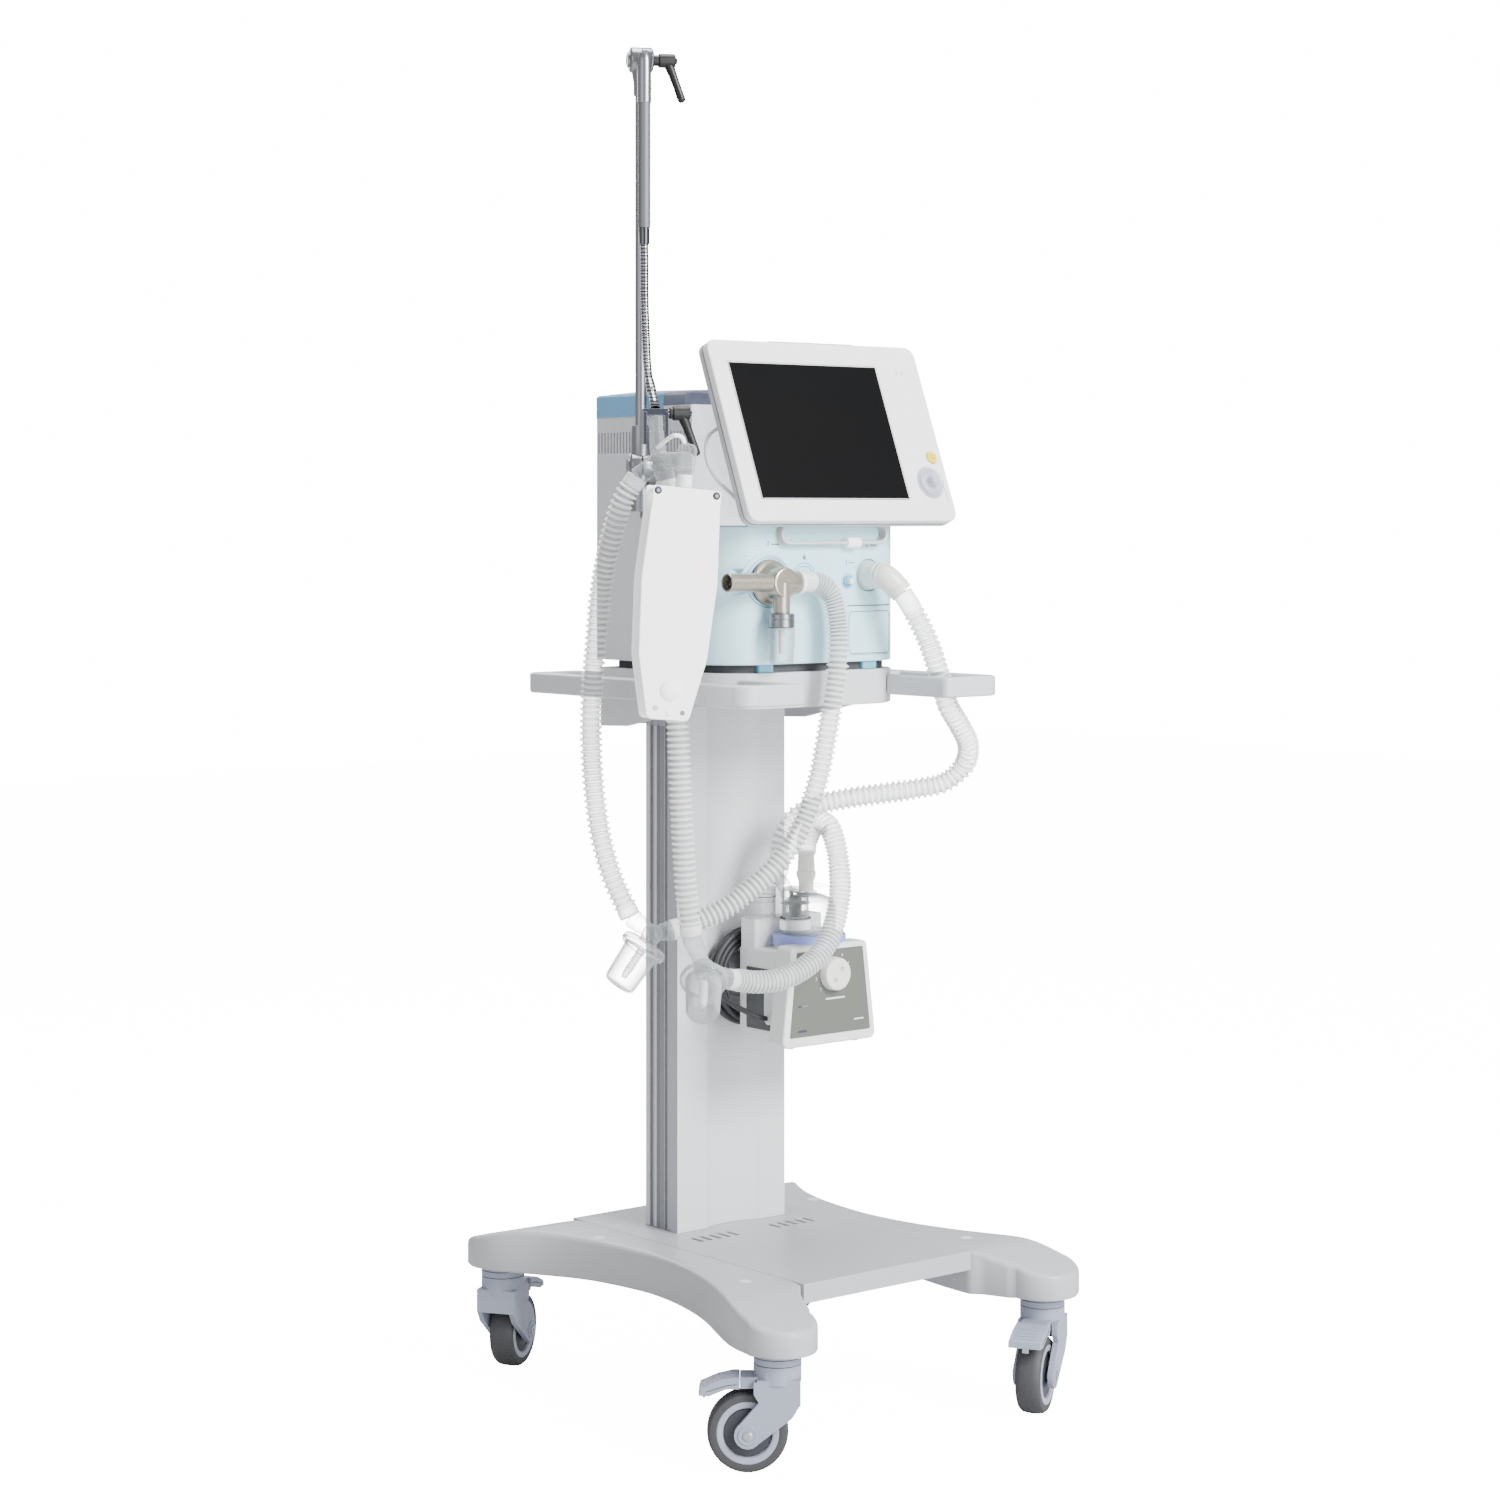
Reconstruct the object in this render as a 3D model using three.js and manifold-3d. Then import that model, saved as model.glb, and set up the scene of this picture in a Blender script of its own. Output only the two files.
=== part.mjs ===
// Mechanical ventilator on a four-caster trolley, with circuit support arm,
// breathing circuit, test lung and heated humidifier.
// Units: millimetres, +Z up, front of the ventilator faces -Y.
// Origin: on the floor, under the centre of the outline box.
import * as THREE from 'three';
import { mergeVertices } from 'three/addons/utils/BufferGeometryUtils.js';
import Module from 'manifold-3d';

const wasm = await Module();
wasm.setup();

// ---------- driving dimensions ----------
const ORIGIN_X = 2.528, ORIGIN_Y = 0.651;      // trolley centre plane to the centre of the outline box
const WHEEL_R = 48;                    // caster wheel
const WHEEL_W = 32;
const TRAIL = 35;                      // caster trail
const CASTER_X = 218, CASTER_Y = 281;  // swivel axes
const CASTER_YAW = { fl: -39.4, fr: 31.4, rl: -147.5, rr: 158 };
const LEG_UNDER = 142, DECK_TOP = 198, DECK_T = 24;
const DECK_HALF = 138, DECK_END = 235;
const COL_HALF = 90, COL_FRONT = 73, COL_REAR = 143;
const TRAY_TOP = 927, TRAY_HALF = 152, TRAY_FRONT = -106, TRAY_REAR = 168;
const HANDLE_X = 215, HANDLE_FRONT = -214, HANDLE_REAR = 240, HANDLE_W = 25;
const HANDLE_Z0 = 893, HANDLE_Z1 = 919;
const UNIT_HALF = 152, UNIT_FRONT = -106, UNIT_REAR = 176, UNIT_CORNER = 62;
const UNIT_BOTTOM = 937, FASCIA_TOP = 1110, UNIT_TOP = 1262;
const MON_TILT = 21.5;                 // rest lean of the display, degrees
const MON_POS = [-1, -106, 1230];      // centre of the screen face
const BEZEL = { u0: -150, u1: 197, v0: -122, v1: 122, t: 20 };
const POLE = [-180, 33], KNUCKLE_Z = 1186, ELBOW_Z = 1697;
const ARM_YAW = -27.8;                 // direction of the arm's hinge pins
const HOSE_R = 14.5;
const GAP = 0.3;

// ---------- geometry helpers ----------
const v3 = (a) => new THREE.Vector3(a[0], a[1], a[2]);
const rad = THREE.MathUtils.degToRad;

function solid(g) {                    // three.js geometry -> manifold
  g = g.clone();
  for (const k of Object.keys(g.attributes)) if (k !== 'position') g.deleteAttribute(k);
  g = mergeVertices(g, 1e-3);
  const p = g.attributes.position.array, ix = g.index.array, t = [];
  let vol = 0;
  for (let i = 0; i < ix.length; i += 3) {
    const [a, b, c] = [ix[i], ix[i + 1], ix[i + 2]];
    if (a === b || b === c || a === c) continue;
    t.push(a, b, c);
    const A = v3(p.slice(3 * a, 3 * a + 3)), B = v3(p.slice(3 * b, 3 * b + 3)), C = v3(p.slice(3 * c, 3 * c + 3));
    vol += A.dot(B.cross(C));
  }
  if (vol < 0) for (let i = 0; i < t.length; i += 3) [t[i + 1], t[i + 2]] = [t[i + 2], t[i + 1]];
  return new wasm.Manifold(new wasm.Mesh({ numProp: 3, vertProperties: new Float32Array(p), triVerts: new Uint32Array(t) }));
}
function moved(g, m) { g = g.clone(); g.applyMatrix4(m); return g; }
function shape(pts) { return new THREE.Shape(pts.map((p) => new THREE.Vector2(p[0], p[1]))); }
// polygon with filleted corners: [x, y, r]
function fillet(pts, n = 4) {
  const out = [], N = pts.length;
  for (let i = 0; i < N; i++) {
    const [x, y, r = 0] = pts[i];
    const a = pts[(i + N - 1) % N], b = pts[(i + 1) % N];
    if (!r) { out.push([x, y]); continue; }
    const P = new THREE.Vector2(x, y);
    const u = new THREE.Vector2(a[0] - x, a[1] - y).normalize(), w = new THREE.Vector2(b[0] - x, b[1] - y).normalize();
    const half = Math.acos(THREE.MathUtils.clamp(u.dot(w), -1, 1)) / 2;
    const d = r / Math.tan(half);
    const c = P.clone().add(u.clone().add(w).normalize().multiplyScalar(r / Math.sin(half)));
    const p0 = P.clone().addScaledVector(u, d), p1 = P.clone().addScaledVector(w, d);
    let t0 = Math.atan2(p0.y - c.y, p0.x - c.x), t1 = Math.atan2(p1.y - c.y, p1.x - c.x);
    while (t1 - t0 > Math.PI) t1 -= 2 * Math.PI;
    while (t1 - t0 < -Math.PI) t1 += 2 * Math.PI;
    for (let k = 0; k <= n; k++) { const t = t0 + (t1 - t0) * k / n; out.push([c.x + r * Math.cos(t), c.y + r * Math.sin(t)]); }
  }
  return out;
}
const circle = (r, n = 16, cx = 0, cy = 0, ph = 0) => Array.from({ length: n }, (_, i) => {
  const t = 2 * Math.PI * (i + ph) / n; return [cx + r * Math.cos(t), cy + r * Math.sin(t)];
});
function ccw(pts) {
  let s = 0;
  pts.forEach((p, i) => { const q = pts[(i + 1) % pts.length]; s += p[0] * q[1] - q[0] * p[1]; });
  return s < 0 ? pts.slice().reverse() : pts;
}
function prismG(pts, lo, hi) {
  const g = new THREE.ExtrudeGeometry(shape(ccw(pts)), { depth: hi - lo, bevelEnabled: false, curveSegments: 1 });
  g.translate(0, 0, lo);
  return g;
}
const basis = (x, y, z) => new THREE.Matrix4().makeBasis(v3(x), v3(y), v3(z));
const zUp = (pts, z0, z1) => solid(prismG(pts, z0, z1));                                            // plan (x,y)
const alongX = (pts, x0, x1) => solid(moved(prismG(pts, x0, x1), basis([0, 1, 0], [0, 0, 1], [1, 0, 0])));   // profile (y,z)
const alongY = (pts, y0, y1) => solid(moved(prismG(pts, -y1, -y0), basis([1, 0, 0], [0, 0, 1], [0, -1, 0]))); // profile (x,z)
const box = (x0, x1, y0, y1, z0, z1) => solid(new THREE.BoxGeometry(x1 - x0, y1 - y0, z1 - z0).translate((x0 + x1) / 2, (y0 + y1) / 2, (z0 + z1) / 2));
function rod(a, b, r, n = 16, r2 = r, ph = 0) {      // cylinder or cone between two points
  const A = v3(a), B = v3(b), d = B.clone().sub(A), L = d.length();
  const g = new THREE.CylinderGeometry(r2, r, L, n, 1);
  if (ph) g.rotateY(ph);
  g.translate(0, L / 2, 0);
  g.applyQuaternion(new THREE.Quaternion().setFromUnitVectors(new THREE.Vector3(0, 1, 0), d.normalize()));
  g.translate(A.x, A.y, A.z);
  return solid(g);
}
function turned(profile, at, axis, n = 24, ph = 0) { // lathe profile [r, h] about an axis
  const g = new THREE.LatheGeometry(profile.map((p) => new THREE.Vector2(p[0], p[1])), n);
  if (ph) g.rotateY(ph);
  g.applyQuaternion(new THREE.Quaternion().setFromUnitVectors(new THREE.Vector3(0, 1, 0), v3(axis).normalize()));
  g.translate(at[0], at[1], at[2]);
  return solid(g);
}
function tube(pts, r, sides = 10, steps = 40) {
  const c = new THREE.CatmullRomCurve3(pts.map(v3), false, 'centripetal');
  return solid(new THREE.ExtrudeGeometry(shape(circle(r, sides)), { steps, bevelEnabled: false, extrudePath: c, curveSegments: 1 }));
}
const ball = (c, r, n = 12) => solid(new THREE.SphereGeometry(r, n, n / 2 + 2).translate(...c));
const sum = (...a) => a.reduce((p, q) => p.add(q));

const object = new THREE.Group();
const mats = {
  base_grey: [0xd2d4d8, 0.45, 0.1], deck_white: [0xe4e6e8, 0.4, 0.1], extrusion: [0x9a9da2, 0.35, 0.8],
  cover_white: [0xdcdee0, 0.45, 0.1], tray_grey: [0xcbcdd0, 0.45, 0.1], handle_grey: [0xc9cbce, 0.4, 0.1],
  caster_plastic: [0xbcc0cc, 0.45, 0], tyre: [0x77797c, 0.7, 0], side_grey: [0xb4b6b9, 0.5, 0.3],
  cyan: [0xcce1e6, 0.4, 0], white: [0xeceded, 0.35, 0], dark_blue: [0x6f7482, 0.45, 0], light_blue: [0x86aec6, 0.4, 0],
  screen: [0x2e2e31, 0.3, 0], alloy: [0xb8b8b4, 0.3, 0.9], clear: [0xe6efee, 0.1, 0], knob: [0xc4c4d0, 0.35, 0],
  yellow: [0xf0dc50, 0.4, 0], black: [0x222224, 0.5, 0], chrome: [0xcfd2d6, 0.12, 1], pole: [0xb4b6ba, 0.3, 0.9],
  arm_grey: [0xa0a2a6, 0.45, 0.4], hose: [0xe2e5e4, 0.3, 0], plate: [0xf1f2f4, 0.4, 0], bag: [0xdcdde0, 0.5, 0],
  humid: [0xdfe0e0, 0.45, 0], cord: [0x303134, 0.6, 0], cable: [0xd8d6d0, 0.5, 0], inner: [0x8c9094, 0.5, 0.3],
  green: [0x3d6b4f, 0.5, 0],
};
function node(name, m, mat, parent = object) {
  const k = mats[mat], mesh = m.getMesh ? m.getMesh() : m;
  const np = mesh.numProp, src = mesh.vertProperties, pos = new Float32Array(src.length / np * 3);
  for (let i = 0; i < src.length / np; i++) for (let j = 0; j < 3; j++) pos[3 * i + j] = src[np * i + j];
  let g = new THREE.BufferGeometry();
  g.setAttribute('position', new THREE.BufferAttribute(pos, 3));
  g.setIndex(new THREE.BufferAttribute(new Uint32Array(mesh.triVerts), 1));
  g = g.toNonIndexed();
  g.computeVertexNormals();
  const out = new THREE.Mesh(g, new THREE.MeshStandardMaterial({ color: k[0], roughness: k[1], metalness: k[2] }));
  out.name = name;
  parent.add(out);
  return out;
}

// ---------- trolley base ----------
function beamOutline(s) {              // s = -1 left, +1 right
  const arc = (cy, a0, a1, n) => Array.from({ length: n + 1 }, (_, i) => {
    const t = rad(a0 + (a1 - a0) * i / n); return [-217 + 47 * Math.cos(t), cy + 47 * Math.sin(t)];
  });
  const left = [
    ...arc(281, 20, 180, 7), [-262, 262], [-250, 238], [-228, 207], [-208, 163], [-195, 115], [-187, 60], [-184, 10],
    [-188, -40], [-198, -90], [-214, -140], [-236, -190], [-256, -235],
    ...arc(-281, 180, 340, 7), [-158, -262], [-150, -242], [-DECK_HALF - 0.3, -230], [-DECK_HALF - 0.3, 230], [-150, 242], [-158, 262]];
  return left.map((p) => [-s * p[0], p[1]]);
}
const beamProfile = [[-331, 168], [-306, 177], [-262, 188], [-226, DECK_TOP], [226, DECK_TOP], [262, 188], [306, 177], [331, 168],
  [331, LEG_UNDER], [190, LEG_UNDER], [120, 145], [0, 147], [-120, 145], [-190, LEG_UNDER], [-331, LEG_UNDER]];
for (const [nm, s] of [['base_left_beam', -1], ['base_right_beam', 1]])
  node(nm, zUp(beamOutline(s), 120, 210).intersect(alongX(beamProfile, -300, 300)), 'base_grey');
let deck = box(-DECK_HALF, DECK_HALF, -DECK_END, DECK_END, DECK_TOP - DECK_T, DECK_TOP);
const slots = [];
for (const cx of [-62, 66]) for (let i = -2; i <= 2; i++) {
  const x = cx + i * 14.5;
  slots.push(zUp(fillet([[x - 3, 18, 2.9], [x + 3, 18, 2.9], [x + 3, 46, 2.9], [x - 3, 46, 2.9]], 2), 160, 210));
}
deck = deck.subtract(sum(...slots));
node('base_deck', deck, 'deck_white');

// ---------- casters ----------
const cWheelZ = WHEEL_R;
for (const [k, sx, sy] of [['fl', -1, -1], ['fr', 1, -1], ['rl', -1, 1], ['rr', 1, 1]]) {
  const grp = new THREE.Group();
  grp.position.set(sx * CASTER_X, sy * CASTER_Y, 0);
  grp.rotation.z = rad(CASTER_YAW[k]);
  object.add(grp);
  const cheek = [[-28, 110], [27, 110], [27, 84], [17, 68], [-24, 37], [-46, 59], [-22, 86], [-28, 96]];
  const arm = (y0, y1) => alongY(cheek, y0, y1).add(rod([-TRAIL, y0, cWheelZ], [-TRAIL, y1, cWheelZ], 16, 16));
  const fork = sum(
    rod([0, 0, 106], [0, 0, 127], 28.3, 24), rod([0, 0, 126], [0, 0, 129], 26.5, 24), rod([0, 0, 128], [0, 0, LEG_UNDER - GAP], 28.3, 24),
    box(-24, 24, -26, 26, 103, 112),
    box(18.5, 27, -26, 26, 82, 112),
    box(-44.1, -20, -17, 17, 100.6, 114),
    arm(19, 26), arm(-26, -19),
    rod([-TRAIL, -20, cWheelZ], [-TRAIL, 20, cWheelZ], 5, 12));
  node(`caster_fork_${k}`, fork, 'caster_plastic', grp);
  const R = WHEEL_R / Math.cos(Math.PI / 24);
  const w = WHEEL_W / 2;
  const wheel = turned([[5.6, -w], [45, -w], [R, -w + 4], [R, w - 4], [45, w], [5.6, w], [5.6, -w]],
    [-TRAIL, 0, cWheelZ], [0, 1, 0], 24, Math.PI / 24);
  node(`caster_wheel_${k}`, wheel, 'tyre', grp);
  const pedal = alongY([[-93, 93], [-91, 101], [-70, 110], [-52, 114], [-44.5, 114], [-44.5, 100.6], [-60, 100.6], [-80, 92.5]], -21, 21);
  node(`brake_pedal_${k}`, pedal, 'caster_plastic', grp);
}

// ---------- column ----------
const grooveProfile = (s) => [[s * 88, COL_FRONT + 15.3], [s * 88, 97], [s * 85, 97], [s * 85, 103], [s * 88, 103], [s * 88, 112], [s * 86, 112], [s * 86, 120],
  [s * 88, 120], [s * 88, 127], [s * 85, 127], [s * 85, 134], [s * 88, 134], [s * 88, COL_REAR]];
node('column_extrusion', zUp([...grooveProfile(-1), ...grooveProfile(1).reverse()], DECK_TOP + GAP, 921.6), 'extrusion');
const recess = [];
for (let i = 0; i <= 6; i++) { const t = i / 6; recess.push([-41 + 89 * t, COL_FRONT + 9 * Math.sin(Math.PI * t) * (1 - 0.35 * t) + 1]); }
node('column_front_cover', zUp([[-COL_HALF, COL_FRONT], [-41, COL_FRONT], ...recess, [48, COL_FRONT], [COL_HALF, COL_FRONT], [COL_HALF, COL_FRONT + 15], [-COL_HALF, COL_FRONT + 15]],
  DECK_TOP + GAP, 921.6), 'cover_white');

// ---------- instrument tray and push handles ----------
const planOutline = (w, f, r, c, rc = 18) => fillet([[-w, r, rc], [-w, f, c], [w, f, c], [w, r, rc]], 6);
const trayProfile = [[TRAY_REAR + 1, TRAY_TOP], [TRAY_FRONT - 1, TRAY_TOP], [TRAY_FRONT - 1, 882], [-50, 885], [100, 853], [TRAY_REAR + 1, 850]];
let tray = zUp(planOutline(TRAY_HALF, TRAY_FRONT, TRAY_REAR, UNIT_CORNER), 840, TRAY_TOP).intersect(alongX(trayProfile, -200, 200));
tray = tray.subtract(zUp(planOutline(TRAY_HALF - 6, TRAY_FRONT + 6, TRAY_REAR - 6, UNIT_CORNER - 6, 12), 800, TRAY_TOP - 5));
node('tray_body', tray, 'tray_grey');
for (const [nm, s] of [['push_handle_left', -1], ['push_handle_right', 1]]) {
  const X = HANDLE_X, W = HANDLE_W;
  const out = fillet([[115, HANDLE_FRONT, 9], [X, HANDLE_FRONT, 26], [X, HANDLE_REAR, 22], [128, HANDLE_REAR, 4], [128, TRAY_REAR + GAP], [148, TRAY_REAR + GAP],
    [148, HANDLE_REAR - W, 8], [X - W, HANDLE_REAR - W, 8], [X - W, -20], [TRAY_HALF + GAP, -20], [TRAY_HALF + GAP, -42], [X - W, -42], [X - W, HANDLE_FRONT + W, 10], [128, HANDLE_FRONT + W, 8],
    [127, -92.5], [115, -99]], 4).map((p) => [s * p[0], p[1]]);
  node(nm, zUp(out, HANDLE_Z0, HANDLE_Z1).subtract(zUp(planOutline(TRAY_HALF + 0.3, TRAY_FRONT - 0.3, TRAY_REAR + 0.3, UNIT_CORNER), 800, 1000)), 'handle_grey');
}

// ---------- ventilator unit ----------
const wide = (y0, y1) => box(-400, 400, y0, y1, 0, 2000);
const SPLIT_Y = -44, SPLIT_UP = -34;   // front edge of the chassis cover, below and above the fascia seam
let cover = zUp(planOutline(UNIT_HALF, UNIT_FRONT, UNIT_REAR, UNIT_CORNER), UNIT_BOTTOM, UNIT_TOP)
  .subtract(zUp(planOutline(UNIT_HALF - 3, UNIT_FRONT + 3, UNIT_REAR - 3, UNIT_CORNER - 3, 15), UNIT_BOTTOM + 3, 1300))
  .intersect(wide(SPLIT_Y, 400)).subtract(box(-400, 400, -400, SPLIT_UP, FASCIA_TOP, 1400));
const vents = [];
for (let i = 0; i < 12; i++) vents.push(box(-170, 170, 85 + i * 6.6, 88 + i * 6.6, 1203, 1230));
for (let i = 0; i < 8; i++) vents.push(box(-170, 170, -27 + i * 6.6, -24 + i * 6.6, 1203, 1230));
cover = cover.subtract(sum(...vents));
for (const x of [-110, 110]) cover = cover.add(box(x - 11, x + 11, 126, 148, TRAY_TOP + GAP, UNIT_BOTTOM + 1));
node('unit_chassis_cover', cover, 'side_grey');

const DOOR = { x0: 45, x1: 126, z0: 946, z1: 1008 };
const doorCut = (g, t = g) => box(DOOR.x0 - g, DOOR.x1 + g, -130, -80, DOOR.z0 - g, DOOR.z1 + t);
const shell = (w, f, c, t, z0, z1) => zUp(planOutline(w, f, UNIT_REAR, c), z0, z1).subtract(zUp(planOutline(w - t, f + t, UNIT_REAR, c - t, 15), z0 - 1, z1 + 1));
let fascia = shell(UNIT_HALF, UNIT_FRONT, UNIT_CORNER, 4, UNIT_BOTTOM + 0.2, FASCIA_TOP).intersect(wide(-400, SPLIT_Y - GAP));
// pocket behind the exhaust port, at the left corner
const inFascia = zUp(planOutline(UNIT_HALF, UNIT_FRONT, UNIT_REAR, UNIT_CORNER), 1018, 1066).intersect(box(-152, -112, -106, -58, 1018, 1066));
fascia = fascia.add(inFascia).subtract(alongX(fillet([[-200, 1025, 14], [-88, 1025, 14], [-88, 1057, 14], [-200, 1057, 14]], 4), -200, -116));
fascia = fascia.subtract(doorCut(0.4, 1.0));
fascia = fascia.add(turned([[0, 0], [8, 0], [8, 3], [4.2, 3], [4.2, 9], [0, 9]], [44, UNIT_FRONT + 1, 1040], [0, -1, 0], 16));
for (const x of [-86, 86]) fascia = fascia.add(box(x - 12, x + 12, -102, -84, TRAY_TOP + GAP, UNIT_BOTTOM + 2));
node('front_fascia', fascia, 'cyan');
node('sensor_door', shell(UNIT_HALF, UNIT_FRONT, UNIT_CORNER, 4, UNIT_BOTTOM, FASCIA_TOP).intersect(doorCut(0)), 'cyan');

// white upper front panel, leaning back behind the display
const lean = (y0, z0, y1, z1) => alongX([[y0, z0 - 60], [y0, z0], [y1, z1], [y1 + 20, z1 + 60], [400, z1 + 60], [400, z0 - 60]], -300, 300);
const leanOuter = lean(-106.5, 1112, -40, UNIT_TOP);
let upper = zUp(planOutline(UNIT_HALF, UNIT_FRONT, UNIT_REAR, UNIT_CORNER), FASCIA_TOP + GAP, UNIT_TOP).intersect(leanOuter);
upper = upper.subtract(zUp(planOutline(UNIT_HALF - 4, UNIT_FRONT + 4, UNIT_REAR, UNIT_CORNER - 4, 15), 1000, UNIT_TOP - 8).intersect(lean(-101, 1112, -34.5, UNIT_TOP)));
const panelCut = box(-400, 400, SPLIT_UP - GAP, 400, 0, UNIT_TOP - 8.2);
upper = upper.subtract(panelCut).intersect(box(-400, 400, -400, -24, 0, 2000));
upper = upper.subtract(box(-400, -UNIT_HALF + 3.3, SPLIT_UP - GAP, 400, 0, 2000)).subtract(box(UNIT_HALF - 3.3, 400, SPLIT_UP - GAP, 400, 0, 2000));
node('front_panel_upper', upper, 'white');

// top: domed cover, its rear edge a light blue band
const topOut = planOutline(UNIT_HALF, UNIT_FRONT, UNIT_REAR, UNIT_CORNER);
const topc = zUp(topOut, UNIT_TOP + GAP, 1290).intersect(alongX([[-22, UNIT_TOP + GAP], [-22, 1276], [0, 1282], [60, 1286], [120, 1285], [UNIT_REAR + 1, 1275], [UNIT_REAR + 1, UNIT_TOP + GAP]], -300, 300))
  .subtract(zUp(planOutline(UNIT_HALF - 4, UNIT_FRONT + 4, UNIT_REAR - 4, UNIT_CORNER - 4, 14), 1200, 1272));
node('top_cover', topc, 'dark_blue');

// internal modules on the chassis floor
node('blower_module', sum(box(-60, 20, 20, 130, 941, 1010), rod([-20, 75, 1009], [-20, 75, 1060], 42, 20), rod([-20, 32, 985], [-20, -20, 985], 14, 12)), 'inner');

// expiratory valve: flange on the fascia, exhaust tube left, patient port right, stem down
const VX = -86, VZ = 1040, VY = -128;
node('expiratory_valve', sum(
  rod([VX, UNIT_FRONT - GAP, VZ], [VX, -114, VZ], 28.5, 24),
  rod([VX, -114, VZ], [VX, -121, VZ], 24, 24, 20),
  rod([VX, -121, VZ], [VX, -141, VZ], 19, 20),
  rod([VX, VY, VZ], [-171, VY, VZ + 1], 11.5, 16),
  rod([VX, VY, VZ], [-57, VY, VZ], 13.5, 16),
  rod([VX, -131, VZ], [VX, -131, 1001], 10.5, 16),
  rod([VX, -131, 1002], [VX, -131, 984], 16, 20)), 'alloy');
node('expiratory_trap_jar', turned([[0, 0], [15, 0], [17.5, 44], [0, 44]], [VX, -131, 939.5], [0, 0, 1], 20), 'clear');
node('valve_lock_knob', rod([-28, UNIT_FRONT - GAP, 1045], [-28, -110, 1045], 10, 20).add(box(-29.5, -26.5, -112.5, -109, 1037, 1053)), 'cyan');
const INSP_END = [95, -153, 1025];
node('inspiratory_port', sum(
  rod([78.5, UNIT_FRONT - GAP, 1047], [78.5, -136, 1047], 18.5, 20, 16.5),
  ball([78.5, -138, 1047], 16.5, 16),
  rod([78.5, -138, 1047], INSP_END, 15.5, 16)), 'white');

// ---------- display ----------
const mon = new THREE.Group();
mon.position.set(...MON_POS);
mon.rotation.x = rad(-MON_TILT);       // local: x right, z up the face, -y out of the face
object.add(mon);
const B = BEZEL;
const rr = (u0, u1, w0, w1, r, n = 4) => fillet([[u0, w0, r], [u1, w0, r], [u1, w1, r], [u0, w1, r]], n);
let bezel = alongY(rr(B.u0, B.u1, B.v0, B.v1, 14), 0, 12)
  .subtract(alongY([[-123, -92.3], [123, -92.3], [123, 92.3], [-123, 92.3]], -1, 6))
  .subtract(alongY(circle(21, 20, 165, -69), -1, 5)).subtract(alongY(circle(8.3, 16, 179, -34), -1, 8));
node('monitor_bezel', bezel, 'white', mon);
node('monitor_screen', box(-122.7, 122.7, 1, 5.7, -92, 92), 'screen', mon);
const back = [];
const bo = rr(B.u0, B.u1, B.v0, B.v1, 14);
let backShell = alongY(bo, 12 + GAP, B.t);
const cu = (B.u0 + B.u1) / 2;
{ // chamfered rear: hull of two outlines
  const big = bo.map((p) => [p[0], B.t, p[1]]), small = rr(B.u0 + 42, B.u1 - 42, B.v0 + 42, B.v1 - 28, 10).map((p) => [p[0], 39, p[1]]);
  const n = big.length, pos = [], idx = [];
  for (const p of [...big, ...small]) pos.push(...p);
  for (let i = 0; i < n; i++) { const j = (i + 1) % n; idx.push(i, j, n + i, j, n + j, n + i); }
  const f = (off, flip) => { for (let i = 1; i < n - 1; i++) flip ? idx.push(off, off + i + 1, off + i) : idx.push(off, off + i, off + i + 1); };
  f(0, true); f(n, false);
  const g = new THREE.BufferGeometry();
  g.setAttribute('position', new THREE.Float32BufferAttribute(pos, 3)); g.setIndex(idx);
  backShell = backShell.add(solid(g));
}
// hinge ears at the back, around the fixed barrel
const H = [0, -36, 1275];              // hinge axis
const hl = v3(H).sub(v3(MON_POS)).applyAxisAngle(new THREE.Vector3(1, 0, 0), rad(MON_TILT)); // in display coordinates
for (const s of [-1, 1]) {
  const x0 = s > 0 ? 51 : -61, x1 = s > 0 ? 61 : -51;
  backShell = backShell.add(rod([x0, hl.y, hl.z], [x1, hl.y, hl.z], 7, 16)).add(box(x0, x1, 30, hl.y, hl.z - 6, hl.z + 6));
}
node('monitor_back_housing', backShell, 'side_grey', mon);
node('monitor_encoder_knob', turned([[0, 0], [18, 0], [19.5, 3], [18.5, 10], [15, 15], [9, 17.5], [0, 18]], [165, 4.6, -69], [0, -1, 0], 24), 'knob', mon);
node('standby_button', rod([179, 5, -34], [179, -1.5, -34], 7.8, 20), 'yellow', mon);
node('monitor_hinge_bracket', sum(rod([-50, H[1], H[2]], [50, H[1], H[2]], 7, 16), box(-50, 50, -38.5, -24.5, UNIT_TOP + GAP, 1272)), 'inner');

// ---------- circuit support arm ----------
const ax = [Math.cos(rad(ARM_YAW)), Math.sin(rad(ARM_YAW)), 0];    // hinge pin direction
const fd = [ax[1], -ax[0], 0];                                     // folding direction, away from the unit
const at = (a, f, z, o = POLE) => [o[0] + ax[0] * a + fd[0] * f, o[1] + ax[1] * a + fd[1] * f, z];
function halfSpace(a0, a1, z0, z1) {   // slab between two planes across the pins
  const c = at((a0 + a1) / 2, 0, (z0 + z1) / 2);
  const g = new THREE.BoxGeometry(a1 - a0, 80, z1 - z0); g.rotateZ(rad(ARM_YAW)); g.translate(...c);
  return solid(g);
}
node('arm_wall_bracket', sum(
  box(-158.5, -UNIT_HALF - GAP, 2, 64, 1118, 1166),
  box(-182, -156, 22, 44, 1130, 1156),
  rod([POLE[0], POLE[1], 1128], [POLE[0], POLE[1], 1158], 13, 20)), 'alloy');
node('arm_base_knuckle', sum(
  rod([POLE[0], POLE[1], 1158.4], [POLE[0], POLE[1], 1169.4], 10, 16),
  rod([POLE[0], POLE[1], 1160], [POLE[0], POLE[1], 1186], 10, 16).intersect(halfSpace(-30, -0.3, 1150, 1200)),
  rod(at(-15, 0, KNUCKLE_Z), at(-0.3, 0, KNUCKLE_Z), 16, 20),
  rod(at(-18, 0, KNUCKLE_Z), at(-14, 0, KNUCKLE_Z), 10, 16)), 'pole');
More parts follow.
